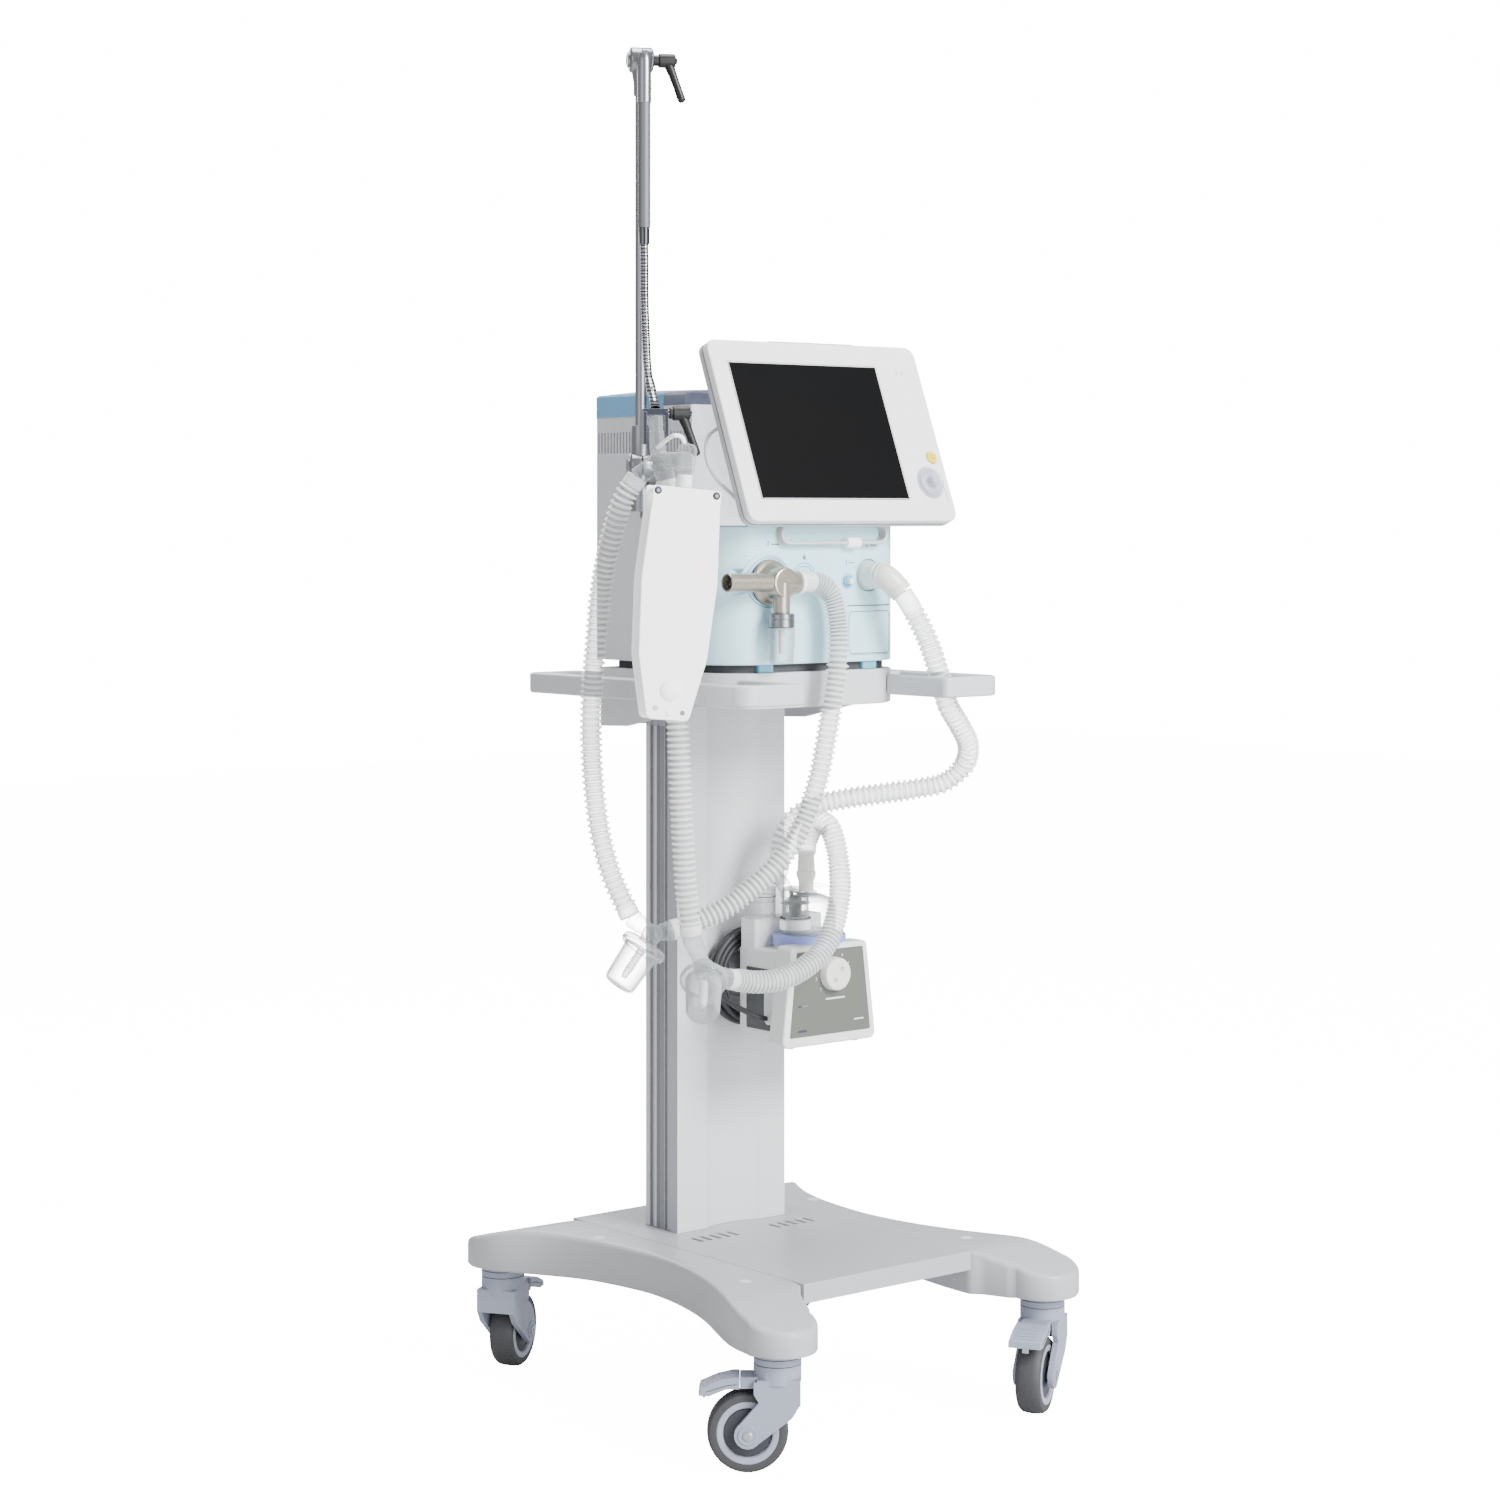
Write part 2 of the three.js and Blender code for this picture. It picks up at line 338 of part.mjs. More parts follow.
node('arm_pole', sum(
  rod(at(0.3, 0, KNUCKLE_Z), at(15, 0, KNUCKLE_Z), 16, 20),
  rod([POLE[0], POLE[1], 1186], [POLE[0], POLE[1], 1204], 12, 16).intersect(halfSpace(0.3, 30, 1150, 1300)),
  rod([POLE[0], POLE[1], 1202.5], [POLE[0], POLE[1], 1237], 12, 16, 11.4),
  rod([POLE[0], POLE[1], 1230], [POLE[0], POLE[1], 1672], 7.25, 16),
  rod([POLE[0], POLE[1], 1652], [POLE[0], POLE[1], 1680.4], 9.5, 16),
  rod([POLE[0], POLE[1], 1675], [POLE[0], POLE[1], 1697], 9.5, 16).intersect(halfSpace(-30, -0.3, 1600, 1720)),
  rod(at(-15, 0, ELBOW_Z), at(-0.3, 0, ELBOW_Z), 16, 20),
  rod(at(-18, 0, ELBOW_Z), at(-14, 0, ELBOW_Z), 9, 16)), 'pole');
node('arm_upper_tube', sum(
  rod(at(0.3, 0, ELBOW_Z), at(15, 0, ELBOW_Z), 16, 20),
  (() => { const g = new THREE.BoxGeometry(7.7, 22, 18); g.rotateZ(rad(ARM_YAW)); const c = at(4.15, 16, 1695); g.translate(...c); return solid(g); })(),
  rod(at(0, 25.5, 1640), at(0, 25.5, 1704), 8.8, 16),
  rod(at(0, 25.5, 1483), at(0, 25.5, 1645), 7.8, 16),
  rod(at(0, 25.5, 1463), at(0, 25.5, 1483.5), 6.8, 16)), 'arm_grey');
const CL = [-238, -72];                // hose clamp centre
const g0 = at(0, 25.5, 1462.7);
node('arm_gooseneck', tube([at(0, 25.5, 1463.4), g0, [g0[0] - 1, g0[1] - 2, 1440], [-197, 3, 1395], [-205, -10, 1350], [-217, -30, 1300], [CL[0] + 3, CL[1] + 6, 1262], [CL[0] + 1, CL[1] + 2, 1252]], 5, 10, 26).subtract(box(-400, 0, -200, 200, 1462.7, 1500)).subtract(box(-400, 0, -200, 200, 1200, 1254.3)), 'chrome');
const jaw = (a0, a1, z0, z1, w) => { const g = new THREE.BoxGeometry(a1 - a0, w, z1 - z0); g.rotateZ(rad(ARM_YAW)); g.translate(...at((a0 + a1) / 2, 0, (z0 + z1) / 2, CL)); return solid(g); };
node('hose_clamp', sum(jaw(-16, 14.6, 1246, 1254, 16), jaw(-16, -12, 1210, 1250, 20), jaw(11, 14.6, 1210, 1250, 20),
  rod(at(14, 0, 1248.5, CL), at(17, 0, 1248.5, CL), 5, 12)), 'chrome');
const lever = (name, c, z, a0) => node(name, sum(
  rod(at(a0, 0, z, c), at(a0 + 5, 0, z, c), 7, 16), rod(at(a0 + 4, 0, z, c), at(a0 + 25, 0, z, c), 9, 16),
  rod(at(a0 + 24, 0, z, c), at(a0 + 28, 0, z, c), 4, 10),
  rod(at(a0 + 17, 0, z - 3, c), at(a0 + 35, 0, z - 52, c), 6.2, 12, 4.6)), 'black');
lever('elbow_clamp_lever', POLE, ELBOW_Z, 15.4);
lever('hose_clamp_lever', CL, 1248.5, 17.4);

// ---------- test lung (hangs from the patient port) ----------
const LW = [0.9505, -0.3108, 0], LN = [-0.3108, -0.9505, 0], roll = rad(5.3);
const LU = [LW[0] * Math.sin(roll), LW[1] * Math.sin(roll), Math.cos(roll)];
const LA = [LW[0] * Math.cos(roll), LW[1] * Math.cos(roll), -Math.sin(roll)];
const LO = [-255.7, -131, 1015];
const lungG = (pts, n0, n1) => {       // n measured out of the front face
  const g = prismG(pts, n0, n1);
  g.applyMatrix4(basis(LA, LU, LN.map((k) => k)));
  g.translate(...LO); return solid(g);
};
const lungPts = fillet([[-44, 142, 4], [44, 142, 4], [44, 124, 6], [49, 30, 60], [44, -62, 40], [27, -138, 6], [-27, -138, 6], [-44, -62, 40], [-49, 30, 60], [-44, 124, 6]], 3);
const lungIn = lungPts.map((p) => [p[0] * 0.9, p[1] * 0.93]);
node('test_lung', sum(lungG(lungPts, 10, 14), lungG(lungPts, -14, -10), lungG(lungIn, -10.5, 10.5)), 'plate');
const lp = (a, b, n) => [0, 1, 2].map((i) => LO[i] + LA[i] * a + LU[i] * b + LN[i] * n);

// ---------- breathing circuit ----------
const YJ = [-241, -86, 1190], YD = [-234.7, -88.9, 1167], YE = [-259, -63.5, 1170.5];
node('patient_y_piece', sum(
  ball(YJ, 14, 14),
  rod([CL[0], CL[1], 1244], [-240.5, -80, 1190], 9.6, 16),
  rod(YJ, YE, 11.5, 16),
  rod(YJ, YD, 11.5, 16),
  rod(YJ, lp(0, 176, 0), 10.5, 16),
  rod(lp(0, 196, 0), lp(0, 142.8, 0), 12, 16)), 'clear');
function trap(name, cap, dir, arms) {  // cap centre, cup direction, arm ends
  const d = v3(dir).normalize(), p = (k) => [cap[0] + d.x * k, cap[1] + d.y * k, cap[2] + d.z * k];
  return node(name, sum(rod(p(-8), p(6), 29, 20), rod(p(5), p(56), 22.5, 20, 20), ball(p(-20), 13, 12), rod(p(-20), p(-6), 12, 14),
    ...arms.map((e) => rod(p(-20), e, 11, 14))), 'clear');
}
const hA = [[-60, VY, VZ], [-44, VY, VZ], [-29, -129, 1039], [-10, -134, 1028], [-1, -139, 992], [-3, -142, 942], [-10, -140, 892], [-17, -135, 842], [-26, -130, 792],
  [-46, -119, 730], [-72, -108, 691], [-100, -96, 663], [-130, -84, 640], [-160, -71, 624], [-184, -61, 615], [-201, -54.3, 610.6]];
const hB = [[94, -152, 1026.5], [104, -160, 1007], [127, -166, 965], [149, -165, 918], [167, -161, 880], [191, -157, 853], [216, -147, 825], [225, -129, 798], [209, -110, 776], [179, -85, 767], [140, -60, 761],
  [102, -35, 755], [70, -12, 746], [46, 2, 730], [33, 9, 708], [28, 10, 685], [28, 10, 662]];
const hC = [[38, -32, 688], [38, -34, 704], [38.5, -43, 721], [39, -58, 731], [39.5, -75, 726], [38.5, -89, 705], [36, -99, 678], [27, -111, 645], [11, -118, 607], [-14, -122, 575], [-48, -122, 555], [-81, -118, 546], [-108, -112, 545], [-135, -106, 549], [-154, -106.4, 552.4]];
const hD = [[-235.2, -88.6, 1169], [-233.5, -90, 1160], [-228.5, -98, 1120], [-227, -103, 1060], [-229, -104, 1000], [-230.5, -104, 905], [-229, -106, 850], [-227, -107, 790], [-224, -108, 735], [-220, -109, 673], [-213.5, -111, 609]];
const hE = [[-257.6, -65, 1171.6], [-270, -51, 1145], [-276, -32, 1093], [-275, -10, 1032], [-275, 0, 970], [-275, 8, 908], [-275, 10, 846], [-274, 5, 784], [-270, -5, 723], [-262, -18, 675], [-251, -28, 643], [-245.3, -32.6, 627.5]];
// hose end squared off against the fitting whose pipe runs from a to b
const butt = (a, b) => { const A = v3(a), d = v3(b).sub(A).normalize(), e = v3(b).addScaledVector(d, GAP), f = v3(b).addScaledVector(d, -14); return rod(f.toArray(), e.toArray(), 19, 12); };
const hose = (name, pts, steps, ...ends) => node(name, ends.reduce((h, [a, b]) => h.subtract(butt(a, b)), tube(pts, HOSE_R, 10, steps)), 'hose');
const T1 = [-234, -42, 591], T1D = [-0.43, 0.35, -0.83], T1A = [-199.4, -54.9, 611], T1E = [-245.8, -32.2, 629.4];
const T2 = [-198, -117, 556], T2D = [-0.51, -0.6, -0.62], T2C = [-152.4, -106, 552.4], T2D_ = [-213.6, -111, 611.4];
const stem = (cap, dir) => { const d = v3(dir).normalize(); return [cap[0] - 20 * d.x, cap[1] - 20 * d.y, cap[2] - 20 * d.z]; };
hose('expiratory_hose_machine', hA, 44, [[VX, VY, VZ], [-57, VY, VZ]], [stem(T1, T1D), T1A]);
hose('inspiratory_hose_machine', hB, 44, [[78.5, -138, 1047], INSP_END], [[28, 10, 646], [28, 10, 664]]);
hose('humidifier_outlet_hose', hC, 40, [[38, -32, 640], [38, -32, 690]], [stem(T2, T2D), T2C]);
hose('inspiratory_hose_patient', hD, 34, [YJ, YD], [stem(T2, T2D), T2D_]);
hose('expiratory_hose_patient', hE, 36, [YJ, YE], [stem(T1, T1D), T1E]);
trap('water_trap_expiratory', T1, T1D, [T1A, T1E]);
trap('water_trap_inspiratory', T2, T2D, [T2C, T2D_]);

// ---------- humidifier ----------
const HX = 50;
node('humidifier_body', sum(
  alongY(fillet([[-33, 447, 8], [125, 447, 8], [109, 575, 6], [-18, 575, 6]], 3), -70, -40),
  box(-10, 104, -41, 44.5, 455, 566),
  box(-10, 104, 12, 44.5, 560, 603),
  rod([HX, -24, 560], [HX, -24, 584], 46, 24),
  box(-5, 40, 44, COL_FRONT - GAP, 498, 556)), 'humid');
node('humidifier_knob', turned([[0, 0], [21.5, 0], [21.5, 6], [19, 12], [0, 12.5]], [HX, -70.3, 537], [0, -1, 0], 24), 'white');
node('humidifier_chamber', sum(
  turned([[0, 0], [50, 0], [50, 14], [43, 16], [43, 30], [34, 60], [14, 70], [0, 70]], [HX, -24 + 0, 584.3], [0, 0, 1], 24).intersect(box(-50, 150, -90, 11.6, 500, 800)),
  rod([38, -32, 640], [38, -32, 690], 11, 14), rod([28, -4, 620], [28, -4, 650], 9, 12), rod([28, -6, 642], [28, 10, 650], 9, 12), rod([28, 10, 646], [28, 10, 664], 11, 14)), 'clear');
const CO = [17, 58.7, 523];
node('mains_cord_coil', turned([[44, -11], [63, -11], [65, -8], [65, 8], [63, 11], [44, 11], [42, 8], [42, -8], [44, -11]], CO, [0, 1, 0], 28), 'cord');
node('mains_cord', tube([[-9, -16, 478], [-26, -16, 481], [-40, -6, 490], [-52, 16, 497], [-57, 38, 505], [-54.6, 52, 515]], 3.5, 8, 18).subtract(box(-10.3, 10, -40, 10, 460, 500)), 'cord');
{
  const d = v3([0.3, 0, -0.954]).normalize(), q = (k, y = 0) => [90 + d.x * k, 58.7 + y, 512 + d.z * k];
  node('mains_plug', sum(rod(q(0), q(13), 5, 12, 9), rod(q(12), q(33), 12.5, 20), rod(q(32, -5), q(46, -5), 2.2, 8), rod(q(32, 5), q(46, 5), 2.2, 8)), 'black');
}

// display cable: loop at the left, hank under the display
{
  const oval = (h) => { const o = []; for (let k = 0; k <= 6; k++) { const t = -Math.PI / 2 + Math.PI * k / 6; o.push([89 + h * Math.cos(t), 1100 + h * Math.sin(t)]); }
    for (let k = 0; k <= 6; k++) { const t = Math.PI / 2 + Math.PI * k / 6; o.push([-61 + h * Math.cos(t), 1100 + h * Math.sin(t)]); } return o; };
  const hank = alongY(oval(14.5), -122, -107.6).subtract(alongY(oval(8), -130, -100));
  node('display_cable', hank.add(tube([[-130, -61, 1233], [-149, -65, 1222], [-159.5, -72, 1202], [-160, -80, 1184], [-155, -90, 1167], [-140, -98.5, 1150], [-122, -104.5, 1133], [-112, -109, 1121], [-98, -115, 1114], [-80, -118, 1111.5], [-60, -118, 1111]], 3, 8, 24)), 'cable');
}

object.position.set(-ORIGIN_X, -ORIGIN_Y, 0);
const root = new THREE.Group();
root.add(object);
export default root;
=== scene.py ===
import bpy, bmesh, math
import numpy as np
from mathutils import Vector, Matrix, Quaternion


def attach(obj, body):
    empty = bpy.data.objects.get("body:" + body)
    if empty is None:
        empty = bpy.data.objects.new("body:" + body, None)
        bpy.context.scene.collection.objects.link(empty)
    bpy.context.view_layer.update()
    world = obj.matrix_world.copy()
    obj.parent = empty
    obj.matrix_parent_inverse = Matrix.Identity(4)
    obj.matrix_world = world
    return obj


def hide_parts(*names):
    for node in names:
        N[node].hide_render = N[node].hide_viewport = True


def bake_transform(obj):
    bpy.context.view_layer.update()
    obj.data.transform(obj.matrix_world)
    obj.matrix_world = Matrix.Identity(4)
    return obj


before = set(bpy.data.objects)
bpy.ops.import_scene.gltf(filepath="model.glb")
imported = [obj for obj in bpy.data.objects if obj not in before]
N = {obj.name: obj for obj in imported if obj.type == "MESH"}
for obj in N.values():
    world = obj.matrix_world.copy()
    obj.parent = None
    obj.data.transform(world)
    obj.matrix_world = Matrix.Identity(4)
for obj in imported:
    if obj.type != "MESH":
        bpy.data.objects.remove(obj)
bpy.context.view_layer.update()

# trolley coordinates (mm, centre of the base on the floor) to the row frame (m)
OX, OY = 2.528, 0.651
def W(p): return Vector(((p[0] - OX) / 1000, (p[1] - OY) / 1000, p[2] / 1000))
MM = 0.001

# ------------------------------------------------------------------ camera, light, floor
sc = bpy.context.scene
cam_d = bpy.data.cameras.new("cam"); cam = bpy.data.objects.new("cam", cam_d)
sc.collection.objects.link(cam)
cam.location = W((-2623, -3161, 1126))
cam.rotation_euler = (math.radians(90), 0, math.radians(-39.371))
cam_d.lens = 76.54; cam_d.sensor_width = 36; cam_d.sensor_fit = 'HORIZONTAL'
cam_d.shift_y = -0.1578; cam_d.clip_end = 60
sc.camera = cam

# ------------------------------------------------------------------ mesh helpers
def obj_from(name, verts, faces, mat=None, smooth=True, sharp=None):
    me = bpy.data.meshes.new(name)
    me.from_pydata([tuple(v) for v in verts], [], [tuple(f) for f in faces])
    bm = bmesh.new(); bm.from_mesh(me)
    bmesh.ops.remove_doubles(bm, verts=bm.verts, dist=1e-7)
    bmesh.ops.recalc_face_normals(bm, faces=bm.faces)
    bm.to_mesh(me); bm.free()
    ob = bpy.data.objects.new(name, me); sc.collection.objects.link(ob)
    if mat is not None: me.materials.append(mat)
    for p in me.polygons: p.use_smooth = smooth
    if smooth: set_sharp(me, math.radians(sharp if sharp else 35))
    return ob
def set_sharp(me, ang):
    bm = bmesh.new(); bm.from_mesh(me)
    for e in bm.edges:
        if len(e.link_faces) == 2 and e.calc_face_angle(0) > ang: e.smooth = False
    bm.to_mesh(me); bm.free()
def bevel(ob, w, seg=3, ang=30, prof=0.5):
    m = ob.modifiers.new("bev", 'BEVEL'); m.width = w * MM; m.segments = seg; m.limit_method = 'ANGLE'; m.angle_limit = math.radians(ang)
    m.harden_normals = False; m.use_clamp_overlap = True
    for p in ob.data.polygons: p.use_smooth = True
    set_sharp(ob.data, math.radians(180))
    wn = ob.modifiers.new("wn", 'WEIGHTED_NORMAL'); wn.keep_sharp = False
    return ob
def frame_of(d):
    d = Vector(d).normalized()
    u = d.orthogonal().normalized(); v = d.cross(u)
    return u, v, d
def lathe(name, profile, at, axis, mat, n=48, sharp=30):
    """profile [(r, h)] in mm about an axis through at (mm)."""
    u, v, d = frame_of(axis); c = Vector(at)
    verts, faces = [], []
    for r, h in profile:
        for i in range(n):
            t = 2 * math.pi * i / n
            verts.append(W(c + d * h + (u * math.cos(t) + v * math.sin(t)) * max(r, 1e-4)))
    m = len(profile)
    for k in range(m - 1):
        for i in range(n):
            j = (i + 1) % n
            faces.append((k * n + i, k * n + j, (k + 1) * n + j, (k + 1) * n + i))
    if profile[0][0] > 0.01: pass
    return obj_from(name, verts, faces, mat, True, sharp)
def solid_lathe(name, profile, at, axis, mat, n=48, sharp=30):
    p = [(0, profile[0][1])] + list(profile) + [(0, profile[-1][1])]
    return lathe(name, p, at, axis, mat, n, sharp)
def smooth_path(pts, step=2.0):
    """centripetal Catmull-Rom through points (mm), resampled evenly."""
    P = [Vector(p) for p in pts]
    P = [P[0] * 2 - P[1]] + P + [P[-1] * 2 - P[-2]]
    out = []
    for i in range(1, len(P) - 2):
        p0, p1, p2, p3 = P[i - 1], P[i], P[i + 1], P[i + 2]
        t0 = 0; t1 = t0 + max((p1 - p0).length, 1e-4) ** .5; t2 = t1 + max((p2 - p1).length, 1e-4) ** .5; t3 = t2 + max((p3 - p2).length, 1e-4) ** .5
        n = max(4, int((p2 - p1).length / 1.0))
        for k in range(n):
            t = t1 + (t2 - t1) * k / n
            A1 = p0 * ((t1 - t) / (t1 - t0)) + p1 * ((t - t0) / (t1 - t0)); A2 = p1 * ((t2 - t) / (t2 - t1)) + p2 * ((t - t1) / (t2 - t1)); A3 = p2 * ((t3 - t) / (t3 - t2)) + p3 * ((t - t2) / (t3 - t2))
            B1 = A1 * ((t2 - t) / (t2 - t0)) + A2 * ((t - t0) / (t2 - t0)); B2 = A2 * ((t3 - t) / (t3 - t1)) + A3 * ((t - t1) / (t3 - t1))
            out.append(B1 * ((t2 - t) / (t2 - t1)) + B2 * ((t - t1) / (t2 - t1)))
    out.append(P[-2])
    A = np.array([list(p) for p in out]); s = np.concatenate([[0], np.cumsum(np.linalg.norm(np.diff(A, axis=0), axis=1))])
    n = max(2, int(round(s[-1] / step)))
    q = np.linspace(0, s[-1], n + 1)
    return np.stack([np.interp(q, s, A[:, k]) for k in range(3)], 1), s[-1]
def sweep(name, path, radius, mat, sides=20, caps=True, sharp=60, squash=None):
    """path Nx3 mm, radius scalar or N array; parallel-transport frames."""
    P = np.asarray(path, float); n = len(P)
    T = np.gradient(P, axis=0); T /= np.linalg.norm(T, axis=1)[:, None]
    r = np.full(n, float(radius)) if np.isscalar(radius) else np.asarray(radius, float)
    u = np.array(list(Vector(T[0]).orthogonal().normalized()))
    verts = []; ang = np.linspace(0, 2 * math.pi, sides, endpoint=False)
    for i in range(n):
        u = u - T[i] * (u @ T[i]); u /= np.linalg.norm(u); v = np.cross(T[i], u)
        ring = P[i] + r[i] * (np.cos(ang)[:, None] * u + np.sin(ang)[:, None] * v)
        verts += [W(p) for p in ring]
    faces = []
    for i in range(n - 1):
        for k in range(sides):
            l = (k + 1) % sides
            faces.append((i * sides + k, i * sides + l, (i + 1) * sides + l, (i + 1) * sides + k))
    if caps:
        faces.append(tuple(range(sides))[::-1]); faces.append(tuple((n - 1) * sides + k for k in range(sides)))
    return obj_from(name, verts, faces, mat, True, sharp)
def prism(name, poly, a, b, plane, mat, bev=1.0, seg=3, sharp=30, holes=()):
    """poly in a plane: 'z' plan (x,y), 'y' (x,z) extruded along y, 'x' (y,z) extruded along x; bevelled."""
    bm = bmesh.new()
    def put(q, h):
        return W((q[0], q[1], h)) if plane == 'z' else W((q[0], h, q[1])) if plane == 'y' else W((h, q[0], q[1]))
    lo = [bm.verts.new(put(q, a)) for q in poly]; hi = [bm.verts.new(put(q, b)) for q in poly]
    bm.faces.new(lo); bm.faces.new(hi)
    for i in range(len(poly)):
        j = (i + 1) % len(poly); bm.faces.new((lo[i], lo[j], hi[j], hi[i]))
    bmesh.ops.recalc_face_normals(bm, faces=bm.faces)
    me = bpy.data.meshes.new(name); bm.to_mesh(me); bm.free()
    ob = bpy.data.objects.new(name, me); sc.collection.objects.link(ob)
    if mat is not None: me.materials.append(mat)
    if bev: bevel(ob, bev, seg, 30)
    else:
        for p in me.polygons: p.use_smooth = True
        set_sharp(me, math.radians(sharp))
    return ob
def fillet(pts, n=8):
    out = []; M = len(pts)
    for i in range(M):
        x, y = pts[i][0], pts[i][1]; r = pts[i][2] if len(pts[i]) > 2 else 0
        if not r: out.append((x, y)); continue
        a, b = pts[i - 1], pts[(i + 1) % M]
        Pt = Vector((x, y)); u = (Vector((a[0], a[1])) - Pt).normalized(); w = (Vector((b[0], b[1])) - Pt).normalized()
        half = math.acos(max(-1, min(1, u.dot(w)))) / 2; d = r / math.tan(half)
        c = Pt + (u + w).normalized() * (r / math.sin(half)); p0 = Pt + u * d; p1 = Pt + w * d
        t0 = math.atan2(p0.y - c.y, p0.x - c.x); t1 = math.atan2(p1.y - c.y, p1.x - c.x)
        while t1 - t0 > math.pi: t1 -= 2 * math.pi
        while t1 - t0 < -math.pi: t1 += 2 * math.pi
        for k in range(n + 1):
            t = t0 + (t1 - t0) * k / n; out.append((c.x + r * math.cos(t), c.y + r * math.sin(t)))
    return out
def rrect(x0, x1, y0, y1, r, n=8): return fillet([(x0, y0, r), (x1, y0, r), (x1, y1, r), (x0, y1, r)], n)
def circle(r, n=32, cx=0, cy=0): return [(cx + r * math.cos(2 * math.pi * i / n), cy + r * math.sin(2 * math.pi * i / n)) for i in range(n)]
def join(name, obs):
    """Merge several plain meshes into one object, keeping materials; modifiers are applied first."""
    dg = bpy.context.evaluated_depsgraph_get()
    me = bpy.data.meshes.new(name); bm = bmesh.new(); mats = []
    for o in obs:
        dg.update(); ev = o.evaluated_get(dg); m = bpy.data.meshes.new_from_object(ev)
        m.transform(o.matrix_world)
        base = {}
        for i, mt in enumerate(o.data.materials):
            if mt not in mats: mats.append(mt)
            base[i] = mats.index(mt)
        for p in m.polygons: p.material_index = base.get(p.material_index, 0)
        bm.from_mesh(m); bpy.data.meshes.remove(m)
    bm.to_mesh(me); bm.free()
    for mt in mats: me.materials.append(mt)
    ob = bpy.data.objects.new(name, me); sc.collection.objects.link(ob)
    for o in obs: bpy.data.objects.remove(o)
    return ob

# ------------------------------------------------------------------ materials
def rgb(r, g, b):
    f = lambda c: ((c / 255) / 12.92 if c / 255 <= 0.04045 else ((c / 255 + 0.055) / 1.055) ** 2.4)
    return (f(r), f(g), f(b), 1)
def pmat(name, col, rough=0.45, metal=0.0, grain=900, bump=0.02, var=0.03, coat=0.0, trans=0.0, alpha=1.0, ior=1.46, rvar=0.08, sss=0.0, stretch=None, spec=0.5, blotch=14):
    m = bpy.data.materials.new(name); m.use_nodes = True; nt = m.node_tree; nd = nt.nodes; ln = nt.links
    b = nd["Principled BSDF"]
    tc = nd.new("ShaderNodeTexCoord"); mp = nd.new("ShaderNodeMapping"); ln.new(tc.outputs["Object"], mp.inputs["Vector"])
    if stretch: mp.inputs["Scale"].default_value = stretch
    n1 = nd.new("ShaderNodeTexNoise"); n1.inputs["Scale"].default_value = grain; n1.inputs["Detail"].default_value = 3
    n2 = nd.new("ShaderNodeTexNoise"); n2.inputs["Scale"].default_value = blotch; n2.inputs["Detail"].default_value = 4
    ln.new(mp.outputs["Vector"], n1.inputs["Vector"]); ln.new(tc.outputs["Object"], n2.inputs["Vector"])
    mix = nd.new("ShaderNodeMix"); mix.data_type = 'RGBA'
    c1 = tuple(max(0, min(1, c * (1 - var))) for c in col[:3]) + (1,); c2 = tuple(max(0, min(1, c * (1 + var))) for c in col[:3]) + (1,)
    mix.inputs[6].default_value = c1; mix.inputs[7].default_value = c2
    ln.new(n2.outputs["Fac"], mix.inputs[0]); ln.new(mix.outputs[2], b.inputs["Base Color"])
    mr = nd.new("ShaderNodeMapRange"); mr.inputs["To Min"].default_value = max(0.02, rough - rvar); mr.inputs["To Max"].default_value = min(1, rough + rvar)
    ln.new(n2.outputs["Fac"], mr.inputs["Value"]); ln.new(mr.outputs["Result"], b.inputs["Roughness"])
    bp = nd.new("ShaderNodeBump"); bp.inputs["Strength"].default_value = bump; bp.inputs["Distance"].default_value = 0.001
    ln.new(n1.outputs["Fac"], bp.inputs["Height"]); ln.new(bp.outputs["Normal"], b.inputs["Normal"])
    b.inputs["Metallic"].default_value = metal; b.inputs["IOR"].default_value = ior
    b.inputs["Coat Weight"].default_value = coat; b.inputs["Coat Roughness"].default_value = 0.12
    b.inputs["Transmission Weight"].default_value = trans; b.inputs["Alpha"].default_value = alpha
    b.inputs["Subsurface Weight"].default_value = sss; b.inputs["Subsurface Radius"].default_value = (0.004, 0.004, 0.004)
    b.inputs["Specular IOR Level"].default_value = spec
    return m
